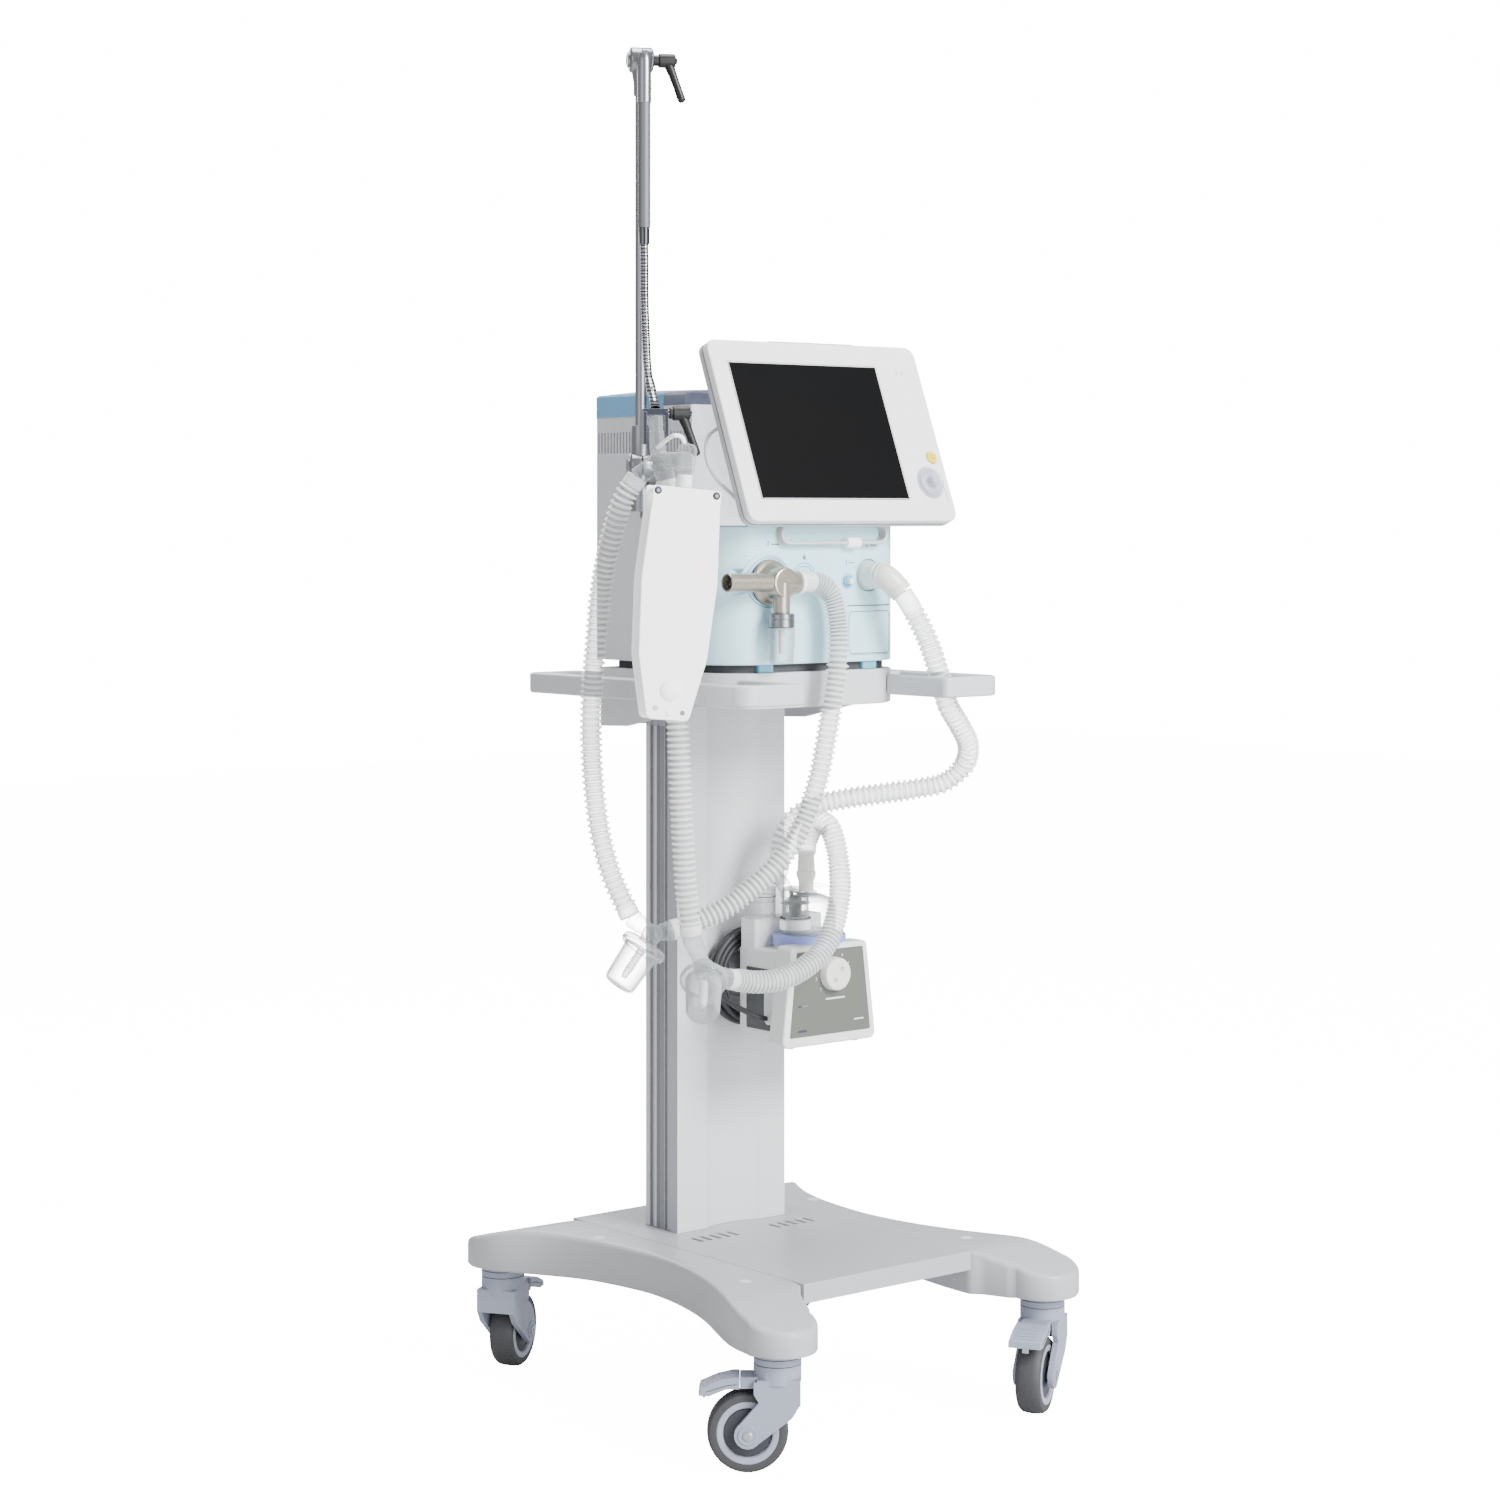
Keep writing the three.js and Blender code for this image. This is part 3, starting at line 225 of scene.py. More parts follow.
MT = {
    'base': pmat("powder_coat_grey", rgb(170, 173, 178), 0.42, 0, 1400, 0.06, 0.012, coat=0.1),
    'deck': pmat("powder_coat_white", rgb(214, 216, 219), 0.4, 0, 1400, 0.06, 0.01, coat=0.1),
    'extr': pmat("anodised_extrusion", rgb(176, 179, 185), 0.42, 0.3, 500, 0.05, 0.03, stretch=(1, 1, 0.02)),
    # darker copy of the extrusion finish: painted shade for the column grooves
    'groove': pmat("extrusion_groove_painted_shade", rgb(128, 131, 137), 0.45, 0.3, 500, 0.04, 0.04, stretch=(1, 1, 0.02)),
    'cover': pmat("column_cover_coat", rgb(206, 208, 211), 0.42, 0, 1300, 0.05, 0.012),
    'tray': pmat("tray_coat", rgb(200, 202, 205), 0.42, 0, 1300, 0.05, 0.012),
    'handle': pmat("handle_coat", rgb(196, 199, 203), 0.36, 0, 1300, 0.04, 0.012, coat=0.15),
    'caster': pmat("caster_nylon", rgb(140, 146, 163), 0.46, 0, 1100, 0.06, 0.02),
    'casterd': pmat("caster_shadow_gap", rgb(52, 53, 56), 0.6, 0, 1100, 0.06, 0.02),
    'tyre': pmat("tyre_polyurethane", rgb(58, 59, 62), 0.6, 0, 700, 0.12, 0.04),
    'rim': pmat("caster_rim_ring", rgb(150, 155, 170), 0.42, 0, 900, 0.05, 0.02),
    'hub': pmat("caster_hub_disc", rgb(48, 50, 57), 0.5, 0, 900, 0.08, 0.03),
    'steel': pmat("zinc_steel", rgb(186, 188, 190), 0.3, 0.9, 700, 0.05, 0.05),
    'side': pmat("chassis_coat", rgb(208, 210, 215), 0.46, 0, 1500, 0.07, 0.012),
    # dark grey for seals, feet, seams and marks, also used as painted shade in the vents, the gap under the unit and
    # the exhaust bore
    'dark': pmat("dark_grey_and_painted_shade", rgb(60, 62, 66), 0.7, 0, 800, 0.05, 0.02),
    'cyan': pmat("fascia_cyan", rgb(192, 231, 243), 0.36, 0, 1200, 0.03, 0.01, coat=0.1),
    'cyan2': pmat("fascia_pocket", rgb(104, 172, 200), 0.4, 0, 1200, 0.03, 0.02),
    'white': pmat("display_white", rgb(236, 237, 239), 0.34, 0, 1200, 0.02, 0.008, coat=0.2),
    'panelw': pmat("upper_panel_white", rgb(246, 249, 252), 0.38, 0, 1200, 0.02, 0.01),
    'top': pmat("top_cover_slate", rgb(104, 110, 130), 0.42, 0, 1200, 0.05, 0.03),
    'band': pmat("band_light_blue", rgb(112, 168, 206), 0.42, 0, 1200, 0.04, 0.02, coat=0.1),
    'dgrey': pmat("display_side_grey", rgb(190, 192, 196), 0.42, 0, 1200, 0.04, 0.012),
    'screen': pmat("screen_glass", rgb(5, 5, 6), 0.55, 0, 2600, 0.02, 0.1, spec=0.08),
    'nickel': pmat("nickel_satin", rgb(172, 165, 153), 0.34, 0.8, 900, 0.03, 0.03, spec=0.6),
    'chrome': pmat("chrome", rgb(98, 100, 106), 0.1, 1.0, 900, 0.01, 0.02, rvar=0.04),
    'alu': pmat("satin_aluminium", rgb(146, 148, 153), 0.3, 1.0, 600, 0.03, 0.04, stretch=(1, 1, 0.05)),
    'agrey': pmat("arm_grey_paint", rgb(100, 102, 106), 0.42, 0.3, 1100, 0.03, 0.02),
    'black': pmat("lever_black", rgb(16, 16, 18), 0.42, 0, 1100, 0.06, 0.06),
    'plate': pmat("lung_plate", rgb(250, 250, 252), 0.36, 0, 1100, 0.03, 0.008, sss=0.05),
    'platet': pmat("lung_plate_clear", rgb(214, 217, 220), 0.3, 0, 1100, 0.03, 0.01, alpha=0.8),
    'bag': pmat("lung_bag_silicone", rgb(226, 227, 228), 0.45, 0, 500, 0.1, 0.02, sss=0.1),
    'hose': pmat("hose_translucent", rgb(236, 239, 239), 0.3, 0, 400, 0.02, 0.015, trans=0.35, alpha=0.86, ior=1.3, sss=0.0),
    'clear': pmat("clear_polycarbonate", rgb(233, 240, 238), 0.1, 0, 300, 0.01, 0.01, trans=0.7, alpha=0.72, ior=1.3),
    'ivory': pmat("port_ivory", rgb(226, 226, 220), 0.28, 0, 700, 0.02, 0.015, sss=0.05, coat=0.2),
    'bluec': pmat("connector_blue_tint", rgb(206, 222, 240), 0.2, 0, 300, 0.01, 0.02, trans=0.5, alpha=0.8, ior=1.3),
    'knob': pmat("encoder_knob", rgb(176, 177, 194), 0.3, 0, 900, 0.02, 0.02, coat=0.4),
    'yellow': pmat("button_yellow", rgb(238, 208, 30), 0.36, 0, 900, 0.02, 0.02, coat=0.2),
    'mark': pmat("printed_mark", rgb(112, 114, 119), 0.5, 0, 900, 0.02, 0.03),
    'markd': pmat("printed_mark_dark", rgb(52, 60, 68), 0.5, 0, 900, 0.02, 0.03),
    'humw': pmat("heater_shell", rgb(226, 227, 228), 0.4, 0, 1100, 0.04, 0.012),
    'humg': pmat("heater_front_grey", rgb(92, 95, 90), 0.5, 0, 1100, 0.04, 0.015),
    'humd': pmat("heater_label_dark", rgb(74, 77, 80), 0.5, 0, 1100, 0.05, 0.03),
    'lav': pmat("chamber_ring_lavender", rgb(138, 150, 218), 0.3, 0, 700, 0.02, 0.02, coat=0.2),
    'cord': pmat("mains_cord_pvc", rgb(52, 53, 56), 0.5, 0, 900, 0.08, 0.06),
    'cable': pmat("display_cable_pvc", rgb(196, 196, 193), 0.42, 0, 900, 0.05, 0.02),
    # black used only for the disc round the lung screws: painted shade of the screw recess
    'tie': pmat("screw_recess_painted_shade", rgb(40, 40, 42), 0.5, 0, 900, 0.05, 0.04),
    'inner': pmat("module_metal", rgb(138, 141, 146), 0.45, 0.3, 700, 0.06, 0.04),
}
def facing_alpha(m, lo, hi, blend=0.5):
    """clear plastic: nearly invisible face on, visible at its edges"""
    nt = m.node_tree; lw = nt.nodes.new("ShaderNodeLayerWeight"); lw.inputs["Blend"].default_value = blend
    mr = nt.nodes.new("ShaderNodeMapRange"); mr.inputs["To Min"].default_value = lo; mr.inputs["To Max"].default_value = hi
    nt.links.new(lw.outputs["Facing"], mr.inputs["Value"]); nt.links.new(mr.outputs["Result"], nt.nodes["Principled BSDF"].inputs["Alpha"])
def ridges(m, dark, light, a=0.46, b=0.54):
    """painted shade and highlight on corrugations: valleys greyer, crests lighter, by pointiness"""
    nt = m.node_tree; g = nt.nodes.new("ShaderNodeNewGeometry"); cr = nt.nodes.new("ShaderNodeValToRGB")
    cr.color_ramp.elements[0].position = a; cr.color_ramp.elements[0].color = dark; cr.color_ramp.elements[1].position = b; cr.color_ramp.elements[1].color = light
    nt.links.new(g.outputs["Pointiness"], cr.inputs["Fac"]); nt.links.new(cr.outputs["Color"], nt.nodes["Principled BSDF"].inputs["Base Color"])
MT['clear'] = pmat("clear_polycarbonate", rgb(184, 190, 192), 0.1, 0, 300, 0.01, 0.01, spec=0.7); facing_alpha(MT['clear'], 0.06, 0.96, 0.36)
MT['bluec'] = pmat("connector_blue_tint", rgb(196, 208, 226), 0.14, 0, 300, 0.01, 0.02, spec=0.6); facing_alpha(MT['bluec'], 0.12, 0.85, 0.42)
# hose: painted shade in the valleys between ribs and painted highlight on the crests
MT['hose'] = pmat("hose_translucent", rgb(232, 235, 235), 0.26, 0, 400, 0.02, 0.015, spec=0.6); facing_alpha(MT['hose'], 0.56, 0.98, 0.5); ridges(MT['hose'], rgb(128, 134, 139), rgb(252, 253, 253), 0.465, 0.525)
# gooseneck: near-black painted shade in the rib crevices, lighter crests, then further dark painted shade lines along z
MT['goose'] = pmat("gooseneck_chrome", rgb(190, 192, 197), 0.18, 1.0, 900, 0.01, 0.02); ridges(MT['goose'], rgb(26, 27, 30), rgb(178, 180, 185), 0.46, 0.53)
def rings(m, pitch, dark):
    """painted shade for the ribs of a metal gooseneck: dark lines at a fixed pitch along z"""
    nt = m.node_tree; tc = nt.nodes.new("ShaderNodeTexCoord"); sx = nt.nodes.new("ShaderNodeSeparateXYZ"); nt.links.new(tc.outputs["Object"], sx.inputs[0])
    mu = nt.nodes.new("ShaderNodeMath"); mu.operation = 'MULTIPLY'; mu.inputs[1].default_value = 2 * math.pi / pitch; nt.links.new(sx.outputs["Z"], mu.inputs[0])
    si = nt.nodes.new("ShaderNodeMath"); si.operation = 'SINE'; nt.links.new(mu.outputs[0], si.inputs[0])
    cr = nt.nodes.new("ShaderNodeMapRange"); cr.inputs["From Min"].default_value = -1; cr.inputs["From Max"].default_value = 0.3; cr.inputs["To Min"].default_value = dark; cr.inputs["To Max"].default_value = 1.0; nt.links.new(si.outputs[0], cr.inputs["Value"])
    mx = nt.nodes.new("ShaderNodeMix"); mx.data_type = 'RGBA'; mx.blend_type = 'MULTIPLY'; mx.inputs[0].default_value = 1.0; old = nt.nodes["Principled BSDF"].inputs["Base Color"].links[0].from_socket
    nt.links.new(old, mx.inputs[6]); nt.links.new(cr.outputs["Result"], mx.inputs[7]); nt.links.new(mx.outputs[2], nt.nodes["Principled BSDF"].inputs["Base Color"])
rings(MT['goose'], 0.0045, 0.12)
MT['mirror'] = pmat("clamp_mirror", rgb(104, 108, 120), 0.14, 1.0, 900, 0.01, 0.03)
# painted glow: the lung plate material and the upper white panel emit light of their own so they read brighter; neither
# is a lamp
for k_, e_ in (('plate', 0.35), ('panelw', 0.9)):
    b_ = MT[k_].node_tree.nodes["Principled BSDF"]; b_.inputs["Emission Color"].default_value = (0.95, 0.97, 1, 1); b_.inputs["Emission Strength"].default_value = e_
def paint(node, mat):
    o = N[node]; o.data.materials.clear(); o.data.materials.append(MT[mat]); return o
def put(ob, body, slot=None, *rep):
    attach(ob, body)
    if rep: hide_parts(*rep)
    return ob

# ------------------------------------------------------------------ cords first
VX, VY, VZ = -86, -128, 1040
hA = [[-56.7, VY, VZ], [-44, VY, VZ], [-29, -129, 1039], [-10, -134, 1028], [-1, -139, 992], [-3, -142, 942], [-10, -140, 892], [-17, -135, 842], [-26, -130, 792],
      [-46, -119, 730], [-72, -108, 691], [-100, -96, 663], [-130, -84, 640], [-160, -71, 624], [-184, -61, 615], [-199.6, -54.8, 611]]
hB = [[95.2, -153.2, 1024.6], [104, -160, 1007], [127, -166, 965], [149, -165, 918], [167, -161, 880], [191, -157, 853], [216, -147, 825], [225, -129, 798], [209, -110, 776], [179, -85, 767], [140, -60, 761],
      [102, -35, 755], [70, -12, 746], [46, 2, 730], [33, 9, 708], [28, 10, 685], [28, 10, 664.6]]
hC = [[38, -32, 690.6], [38, -34, 704], [38.5, -43, 721], [39, -58, 731], [39.5, -75, 726], [38.5, -89, 705], [36, -99, 678], [27, -111, 645], [11, -118, 607], [-14, -122, 575], [-48, -122, 555], [-81, -118, 546], [-108, -112, 545], [-135, -106, 549], [-152, -106, 552.4]]
hD = [[-234.6, -89, 1166.4], [-233.5, -90, 1160], [-228.5, -98, 1120], [-227, -103, 1060], [-229, -104, 1000], [-230.5, -104, 905], [-229, -106, 850], [-227, -107, 790], [-224, -108, 735], [-220, -109, 673], [-213.6, -111, 612]]
hE = [[-259.3, -63.2, 1170.1], [-270, -51, 1145], [-276, -32, 1093], [-275, -10, 1032], [-275, 0, 970], [-275, 8, 908], [-275, 10, 846], [-274, 5, 784], [-270, -5, 723], [-262, -18, 675], [-251, -28, 643], [-246.2, -31.8, 630]]
def corrugated(name, pts, pitch, amp, cuffs=(26, 26), r=14.4, zone=None):
    """hose with rounded ribs and smooth cuffs at both ends; returns (object, path mm, length mm)"""
    P, L = smooth_path(pts, 0.5)
    s = np.linspace(0, L, len(P))
    # rib phase with local pitch
    pt = np.full(len(s), pitch, float)
    if zone is not None:
        for a, b, pp in zone: pt[(s >= a * L) & (s <= b * L)] = pp
    k = 25; pt = np.convolve(np.pad(pt, k, mode='edge'), np.ones(2 * k + 1) / (2 * k + 1), 'valid')
    ph = np.concatenate([[0], np.cumsum(np.diff(s) / ((pt[1:] + pt[:-1]) / 2))])
    nr = max(1, int(ph[-1] * 10))
    q = np.linspace(0, ph[-1], nr + 1)
    ss = np.interp(q, ph, s)
    Q = np.stack([np.interp(ss, s, P[:, j]) for j in range(3)], 1)
    rib = np.clip(0.5 + 0.5 * np.cos(2 * math.pi * q), 0, 1) ** 1.5
    rad = r - amp * (1 - rib)
    c0, c1 = cuffs
    e = np.minimum(np.clip((ss - c0) / 5, 0, 1), np.clip((L - c1 - ss) / 5, 0, 1))
    cuff = 12.9
    rad = cuff + (rad - cuff) * e
    ob = sweep(name, Q, rad, MT['hose'], 22, True, 80)
    P2, _ = smooth_path(pts, 6.0)
    return ob, [W(p) for p in P2], L
def hose(name, pts, pitch, amp, node, a, b, cuffs=(24, 24), zone=None, exit_=None, rep=True):
    ob, path, L = corrugated(name, pts, pitch, amp, cuffs, zone=zone)
    if rep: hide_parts(node)
    if b is None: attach(ob, a)
    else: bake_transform(ob)
    return ob
hose("expiratory_hose_to_trap", hA, 7.2, 3.8, "expiratory_hose_machine", "trolley", "arm_base", cuffs=(22, 10), zone=[(0, 0.2, 4.6)])
hose("inspiratory_hose_to_heater", hB, 7.8, 3.9, "inspiratory_hose_machine", "trolley", None, cuffs=(26, 10))
hose("heater_hose_to_trap", hC, 5.4, 2.9, "humidifier_outlet_hose", "trolley", "arm_base", cuffs=(10, 10))
def split(pts, k): return pts[:k + 1], pts[k:]
P_D, _ = smooth_path(hD[::-1], 4.0); P_E, _ = smooth_path(hE[::-1], 4.0)
def halves(P, z):
    i = int(np.argmin(abs(P[:, 2] - z))); return [list(p) for p in P[:i + 1:1]][::3] + [list(P[i])], [list(P[i])] + [list(p) for p in P[i + 3::3]] + [list(P[-1])]
D1, D2 = halves(P_D, 905); E1, E2 = halves(P_E, 905)
for nm, lowp, upp, node in (("inspiratory_limb", D1, D2, "inspiratory_hose_patient"), ("expiratory_limb", E1, E2, "expiratory_hose_patient")):
    a = hose(nm + "_lower", lowp, 7.5, 3.9, node, "arm_base", "arm_mast", cuffs=(10, -20))
    b = hose(nm + "_upper", upp, 7.5, 3.9, node, "arm_mast", "arm_upper", cuffs=(-20, 12))
def plain_cord(name, pts, d, mat, sides=14, step=1.5):
    P, L = smooth_path(pts, step)
    ob = sweep(name, P, d / 2, MT[mat], sides, True, 80)
    P2, _ = smooth_path(pts, max(1.5, d * 0.6))
    return ob, [tuple(W(p)) for p in P2], L
# mains cord: out of the heater's side gland, six turns behind the heater, down to its plug
C0 = (17, 58.7, 523)
mp = [[-10.4, -16, 478], [-26, -16, 481], [-40, -5, 489], [-49, 16, 499], [-49, 36, 508], [-46, 49, 517]]
turn = [(7.2, -3.8), (0, -3.8), (-7.2, -3.8), (-7.2, 3.8), (0, 3.8), (7.2, 3.8)]
for i in range(0, 6 * 18 + 9):
    th = math.pi * (1 - 0.04) - 2 * math.pi * i / 18
    k = min(5, i // 18); f = min(1, max(0, (i % 18) / 18 * 1.6 - 0.6)) if k < 5 else 0
    f = f * f * (3 - 2 * f)
    a, b = turn[k], turn[min(5, k + 1)]
    r = 54 + a[0] * (1 - f) + b[0] * f; y = a[1] * (1 - f) + b[1] * f
    mp.append([C0[0] + r * math.cos(th), C0[1] + y, C0[2] + r * math.sin(th)])
mp = mp[:-1] + [[86.5, 60.5, 524], [90, 58.7, 512.3]]
mains, mpath, ML = plain_cord("heater_mains_lead", mp, 7.0, 'cord')
put(mains, "trolley", "cord", "mains_cord", "mains_cord_coil")
dcp = [[-130, -61, 1233], [-149, -65, 1222], [-159.5, -72, 1202], [-160, -80, 1184], [-155, -90, 1167], [-140, -98.5, 1150], [-122, -104.5, 1133], [-112, -109, 1121], [-98, -115, 1114], [-80, -119, 1111.5]]
HB_ = [(-61 + 150 * i / 4, 1111.2) for i in range(4)] + [(89 + 11.2 * math.cos(math.pi / 2 - math.pi * i / 8), 1100 + 11.2 * math.sin(math.pi / 2 - math.pi * i / 8)) for i in range(8)] \
    + [(89 - 150 * i / 4, 1088.8) for i in range(4)] + [(-61 - 11.2 * math.sin(math.pi * i / 8), 1100 - 11.2 * math.cos(math.pi * i / 8)) for i in range(8)]
for k in range(3):
    for i, (x, z) in enumerate(HB_):
        if k == 0 and i == 0: continue
        dcp.append([x, -119.3 + 4.6 * (k + i / len(HB_)), z])
dcp += [[-61, -107.2, 1111.2], [-35, -107.2, 1111.4], [-10, -107.2, 1112]]
dcab, dpath, DL = plain_cord("display_signal_cable", dcp, 4.6, 'cable', 12, 1.2)
put(dcab, "trolley", "cable", "display_cable")
# ------------------------------------------------------------------ shared builders for the surface pieces
def soft(node, mat, w=1.0, seg=2, ang=32):
    o = paint(node, mat)
    m = o.modifiers.new("weld", 'WELD'); m.merge_threshold = 1e-6
    m = o.modifiers.new("dis", 'DECIMATE'); m.decimate_type = 'DISSOLVE'; m.angle_limit = math.radians(0.5)
    m = o.modifiers.new("bev", 'BEVEL'); m.width = w * MM; m.segments = seg; m.limit_method = 'ANGLE'; m.angle_limit = math.radians(ang); m.use_clamp_overlap = True
    for p in o.data.polygons: p.use_smooth = True
    m = o.modifiers.new("wn", 'WEIGHTED_NORMAL'); m.keep_sharp = False
    return o
def gprism(name, poly, f, a, b, mat, bev=1.0, seg=3):
    """poly (p, q) raised between levels a and b of the map f(p, q, level) -> mm"""
    bm = bmesh.new()
    lo = [bm.verts.new(W(f(p[0], p[1], a))) for p in poly]; hi = [bm.verts.new(W(f(p[0], p[1], b))) for p in poly]
    bm.faces.new(lo); bm.faces.new(hi)
    for i in range(len(poly)):
        j = (i + 1) % len(poly); bm.faces.new((lo[i], lo[j], hi[j], hi[i]))
    bmesh.ops.recalc_face_normals(bm, faces=bm.faces)
    me = bpy.data.meshes.new(name); bm.to_mesh(me); bm.free()
    ob = bpy.data.objects.new(name, me); sc.collection.objects.link(ob); me.materials.append(mat)
    if bev: bevel(ob, bev, seg, 30)
    else: set_sharp(me, math.radians(30))
    return ob
def band(name, pts, w, f, off, depth, mat, closed=True):
    """thin raised or inlaid line along pts on the surface f(p, q, off)"""
    n = len(pts); verts = []; faces = []
    for i in range(n):
        a = Vector(pts[i - 1] if (closed or i) else pts[0]); b = Vector(pts[(i + 1) % n] if (closed or i < n - 1) else pts[-1])
        t = (b - a); t = t.normalized() if t.length > 1e-9 else Vector((1, 0)); nn = Vector((-t[1], t[0])); p = Vector(pts[i])
        for s, o in ((1, off), (-1, off), (-1, off - depth), (1, off - depth)):
            q = p + nn * (s * w / 2); verts.append(W(f(q[0], q[1], o)))
    m = n if closed else n - 1
    for i in range(m):
        j = (i + 1) % n
        for k in range(4):
            l = (k + 1) % 4; faces.append((i * 4 + k, i * 4 + l, j * 4 + l, j * 4 + k))
    if not closed: faces += [(0, 1, 2, 3), tuple((n - 1) * 4 + k for k in range(4))]
    return obj_from(name, verts, faces, mat, True, 30)
def FR(x, z, off):
    ax_ = abs(x)
    if ax_ <= 90: return (x, -106 - off, z)
    s = min(0.9999, (ax_ - 90) / 62); th = math.asin(s)
    return (math.copysign(90 + (62 + off) * math.sin(th), x), -44 - (62 + off) * math.cos(th), z)
def SL(y, z, off): return (-152 - off, y, z)
MT_ = math.radians(21.5)
def MON(u, v, off): return (-1 + u, -106 + v * math.sin(MT_) - off * math.cos(MT_), 1230 + v * math.cos(MT_) + off * math.sin(MT_))
MOUT = (0, -math.cos(MT_), math.sin(MT_))
def dense(pts, closed=True, step=1.5):
    out = []; n = len(pts)
    for i in range(n if closed else n - 1):
        a, b = Vector(pts[i]), Vector(pts[(i + 1) % n]); k = max(1, int((b - a).length / step))
        out += [tuple(a + (b - a) * j / k) for j in range(k)]
    if not closed: out.append(tuple(pts[-1]))
    return out
def arcp(cx, cz, r, a0, a1, n=24): return [(cx + r * math.cos(math.radians(a0 + (a1 - a0) * i / n)), cz + r * math.sin(math.radians(a0 + (a1 - a0) * i / n))) for i in range(n + 1)]
def interp(P, x):
    xs = [p[0] for p in P]; ys = [p[1] for p in P]
    return float(np.interp(x, xs, ys))
def smooth1(P, n=200, k=9):
    xs = np.linspace(P[0][0], P[-1][0], n); ys = np.interp(xs, [p[0] for p in P], [p[1] for p in P])
    for _ in range(2): ys = np.convolve(np.pad(ys, k, mode='edge'), np.ones(2 * k + 1) / (2 * k + 1), 'valid')
    return list(zip(xs.tolist(), ys.tolist()))

# ------------------------------------------------------------------ base
OUTR = smooth1([(-281, -264), (-235, -256), (-190, -236), (-140, -214), (-90, -198), (-40, -188), (10, -184), (60, -187), (115, -195), (163, -208), (207, -228), (238, -250), (262, -262), (281, -264)], 220, 6)
TOPP = smooth1([(-331, 170), (-306, 177), (-262, 188), (-226, 198), (226, 198), (262, 188), (306, 177), (331, 170)], 260, 6)
BOTP = smooth1([(-331, 142), (-190, 142), (-120, 145), (0, 147), (120, 145), (190, 142), (331, 142)], 200, 5)
def beam(name, s, node):
    ys = list(np.linspace(-281, 281, 120))
    ends = [281 + 47 * math.sin(math.radians(a)) for a in np.linspace(4, 90, 20)]
    ys = [-e for e in reversed(ends)] + ys + ends
    verts = []; K = 7; faces = []
    for y in ys:
        ay = abs(y)
        if ay >= 281:
            h = math.sqrt(max(0.05, 47 * 47 - (ay - 281) ** 2)); xo = -217 - h; xi = -217 + h
            if ay < 297: xi = min(xi, -172.8 + (297 - ay) * 0.42)
        else:
            xo = interp(OUTR, y); xi = float(np.interp(ay, [0, 230, 242, 262, 281], [-138.4, -138.4, -150, -158, -166]))
        zt = interp(TOPP, y); zb = interp(BOTP, y); R = 7.0
        d = 328 - ay
        if d < R: zt -= R * (1 - math.sqrt(max(0, 1 - (1 - d / R) ** 2)))
        w = xi - xo; Ro = min(R, w * 0.45); Ri = min(1.2 if ay < 225 else 1.2 + (ay - 225) / 36 * 8, w * 0.45) if ay < 262 else Ro
        row = [(xi, zb + 1.5)]
        for k in range(K): a = math.radians(90 * k / (K - 1)); row.append((xi - Ri + Ri * math.cos(a), zt - Ri + Ri * math.sin(a)))
        for k in range(K): a = math.radians(90 + 90 * k / (K - 1)); row.append((xo + Ro + Ro * math.cos(a), zt - Ro + Ro * math.sin(a)))
        row += [(xo, zb + 3), (xo + min(3, w * .2), zb), (xi - min(1.5, w * .2), zb)]
        verts += [W((-s * x if s < 0 else -x, y, z)) if False else W(((x if s < 0 else -x), y, z)) for x, z in row]
        n = len(row)
    M = len(ys)
    for i in range(M - 1):
        for k in range(n):
            l = (k + 1) % n; faces.append((i * n + k, i * n + l, (i + 1) * n + l, (i + 1) * n + k))
    faces += [tuple(range(n)), tuple((M - 1) * n + k for k in range(n))]
    ob = obj_from(name, verts, faces, MT['base'], True, 50)
    put(ob, "trolley", "base_grey", node)
    for k, (cx, cy) in enumerate(((183, -178), (180, 120))):
        c = lathe(name + "_cap%d" % k, [(0, -1), (7.6, -1), (7.6, 0.15), (7.0, 0.45), (6.2, 0.2), (0, 0.35)], (s * cx, cy, 198.0), (0, 0, 1), MT['deck'], 32)
        put(c, "trolley", "base_grey")
beam("base_beam_left", -1, "base_left_beam"); beam("base_beam_right", 1, "base_right_beam")
soft('base_deck', 'base', 0.35)

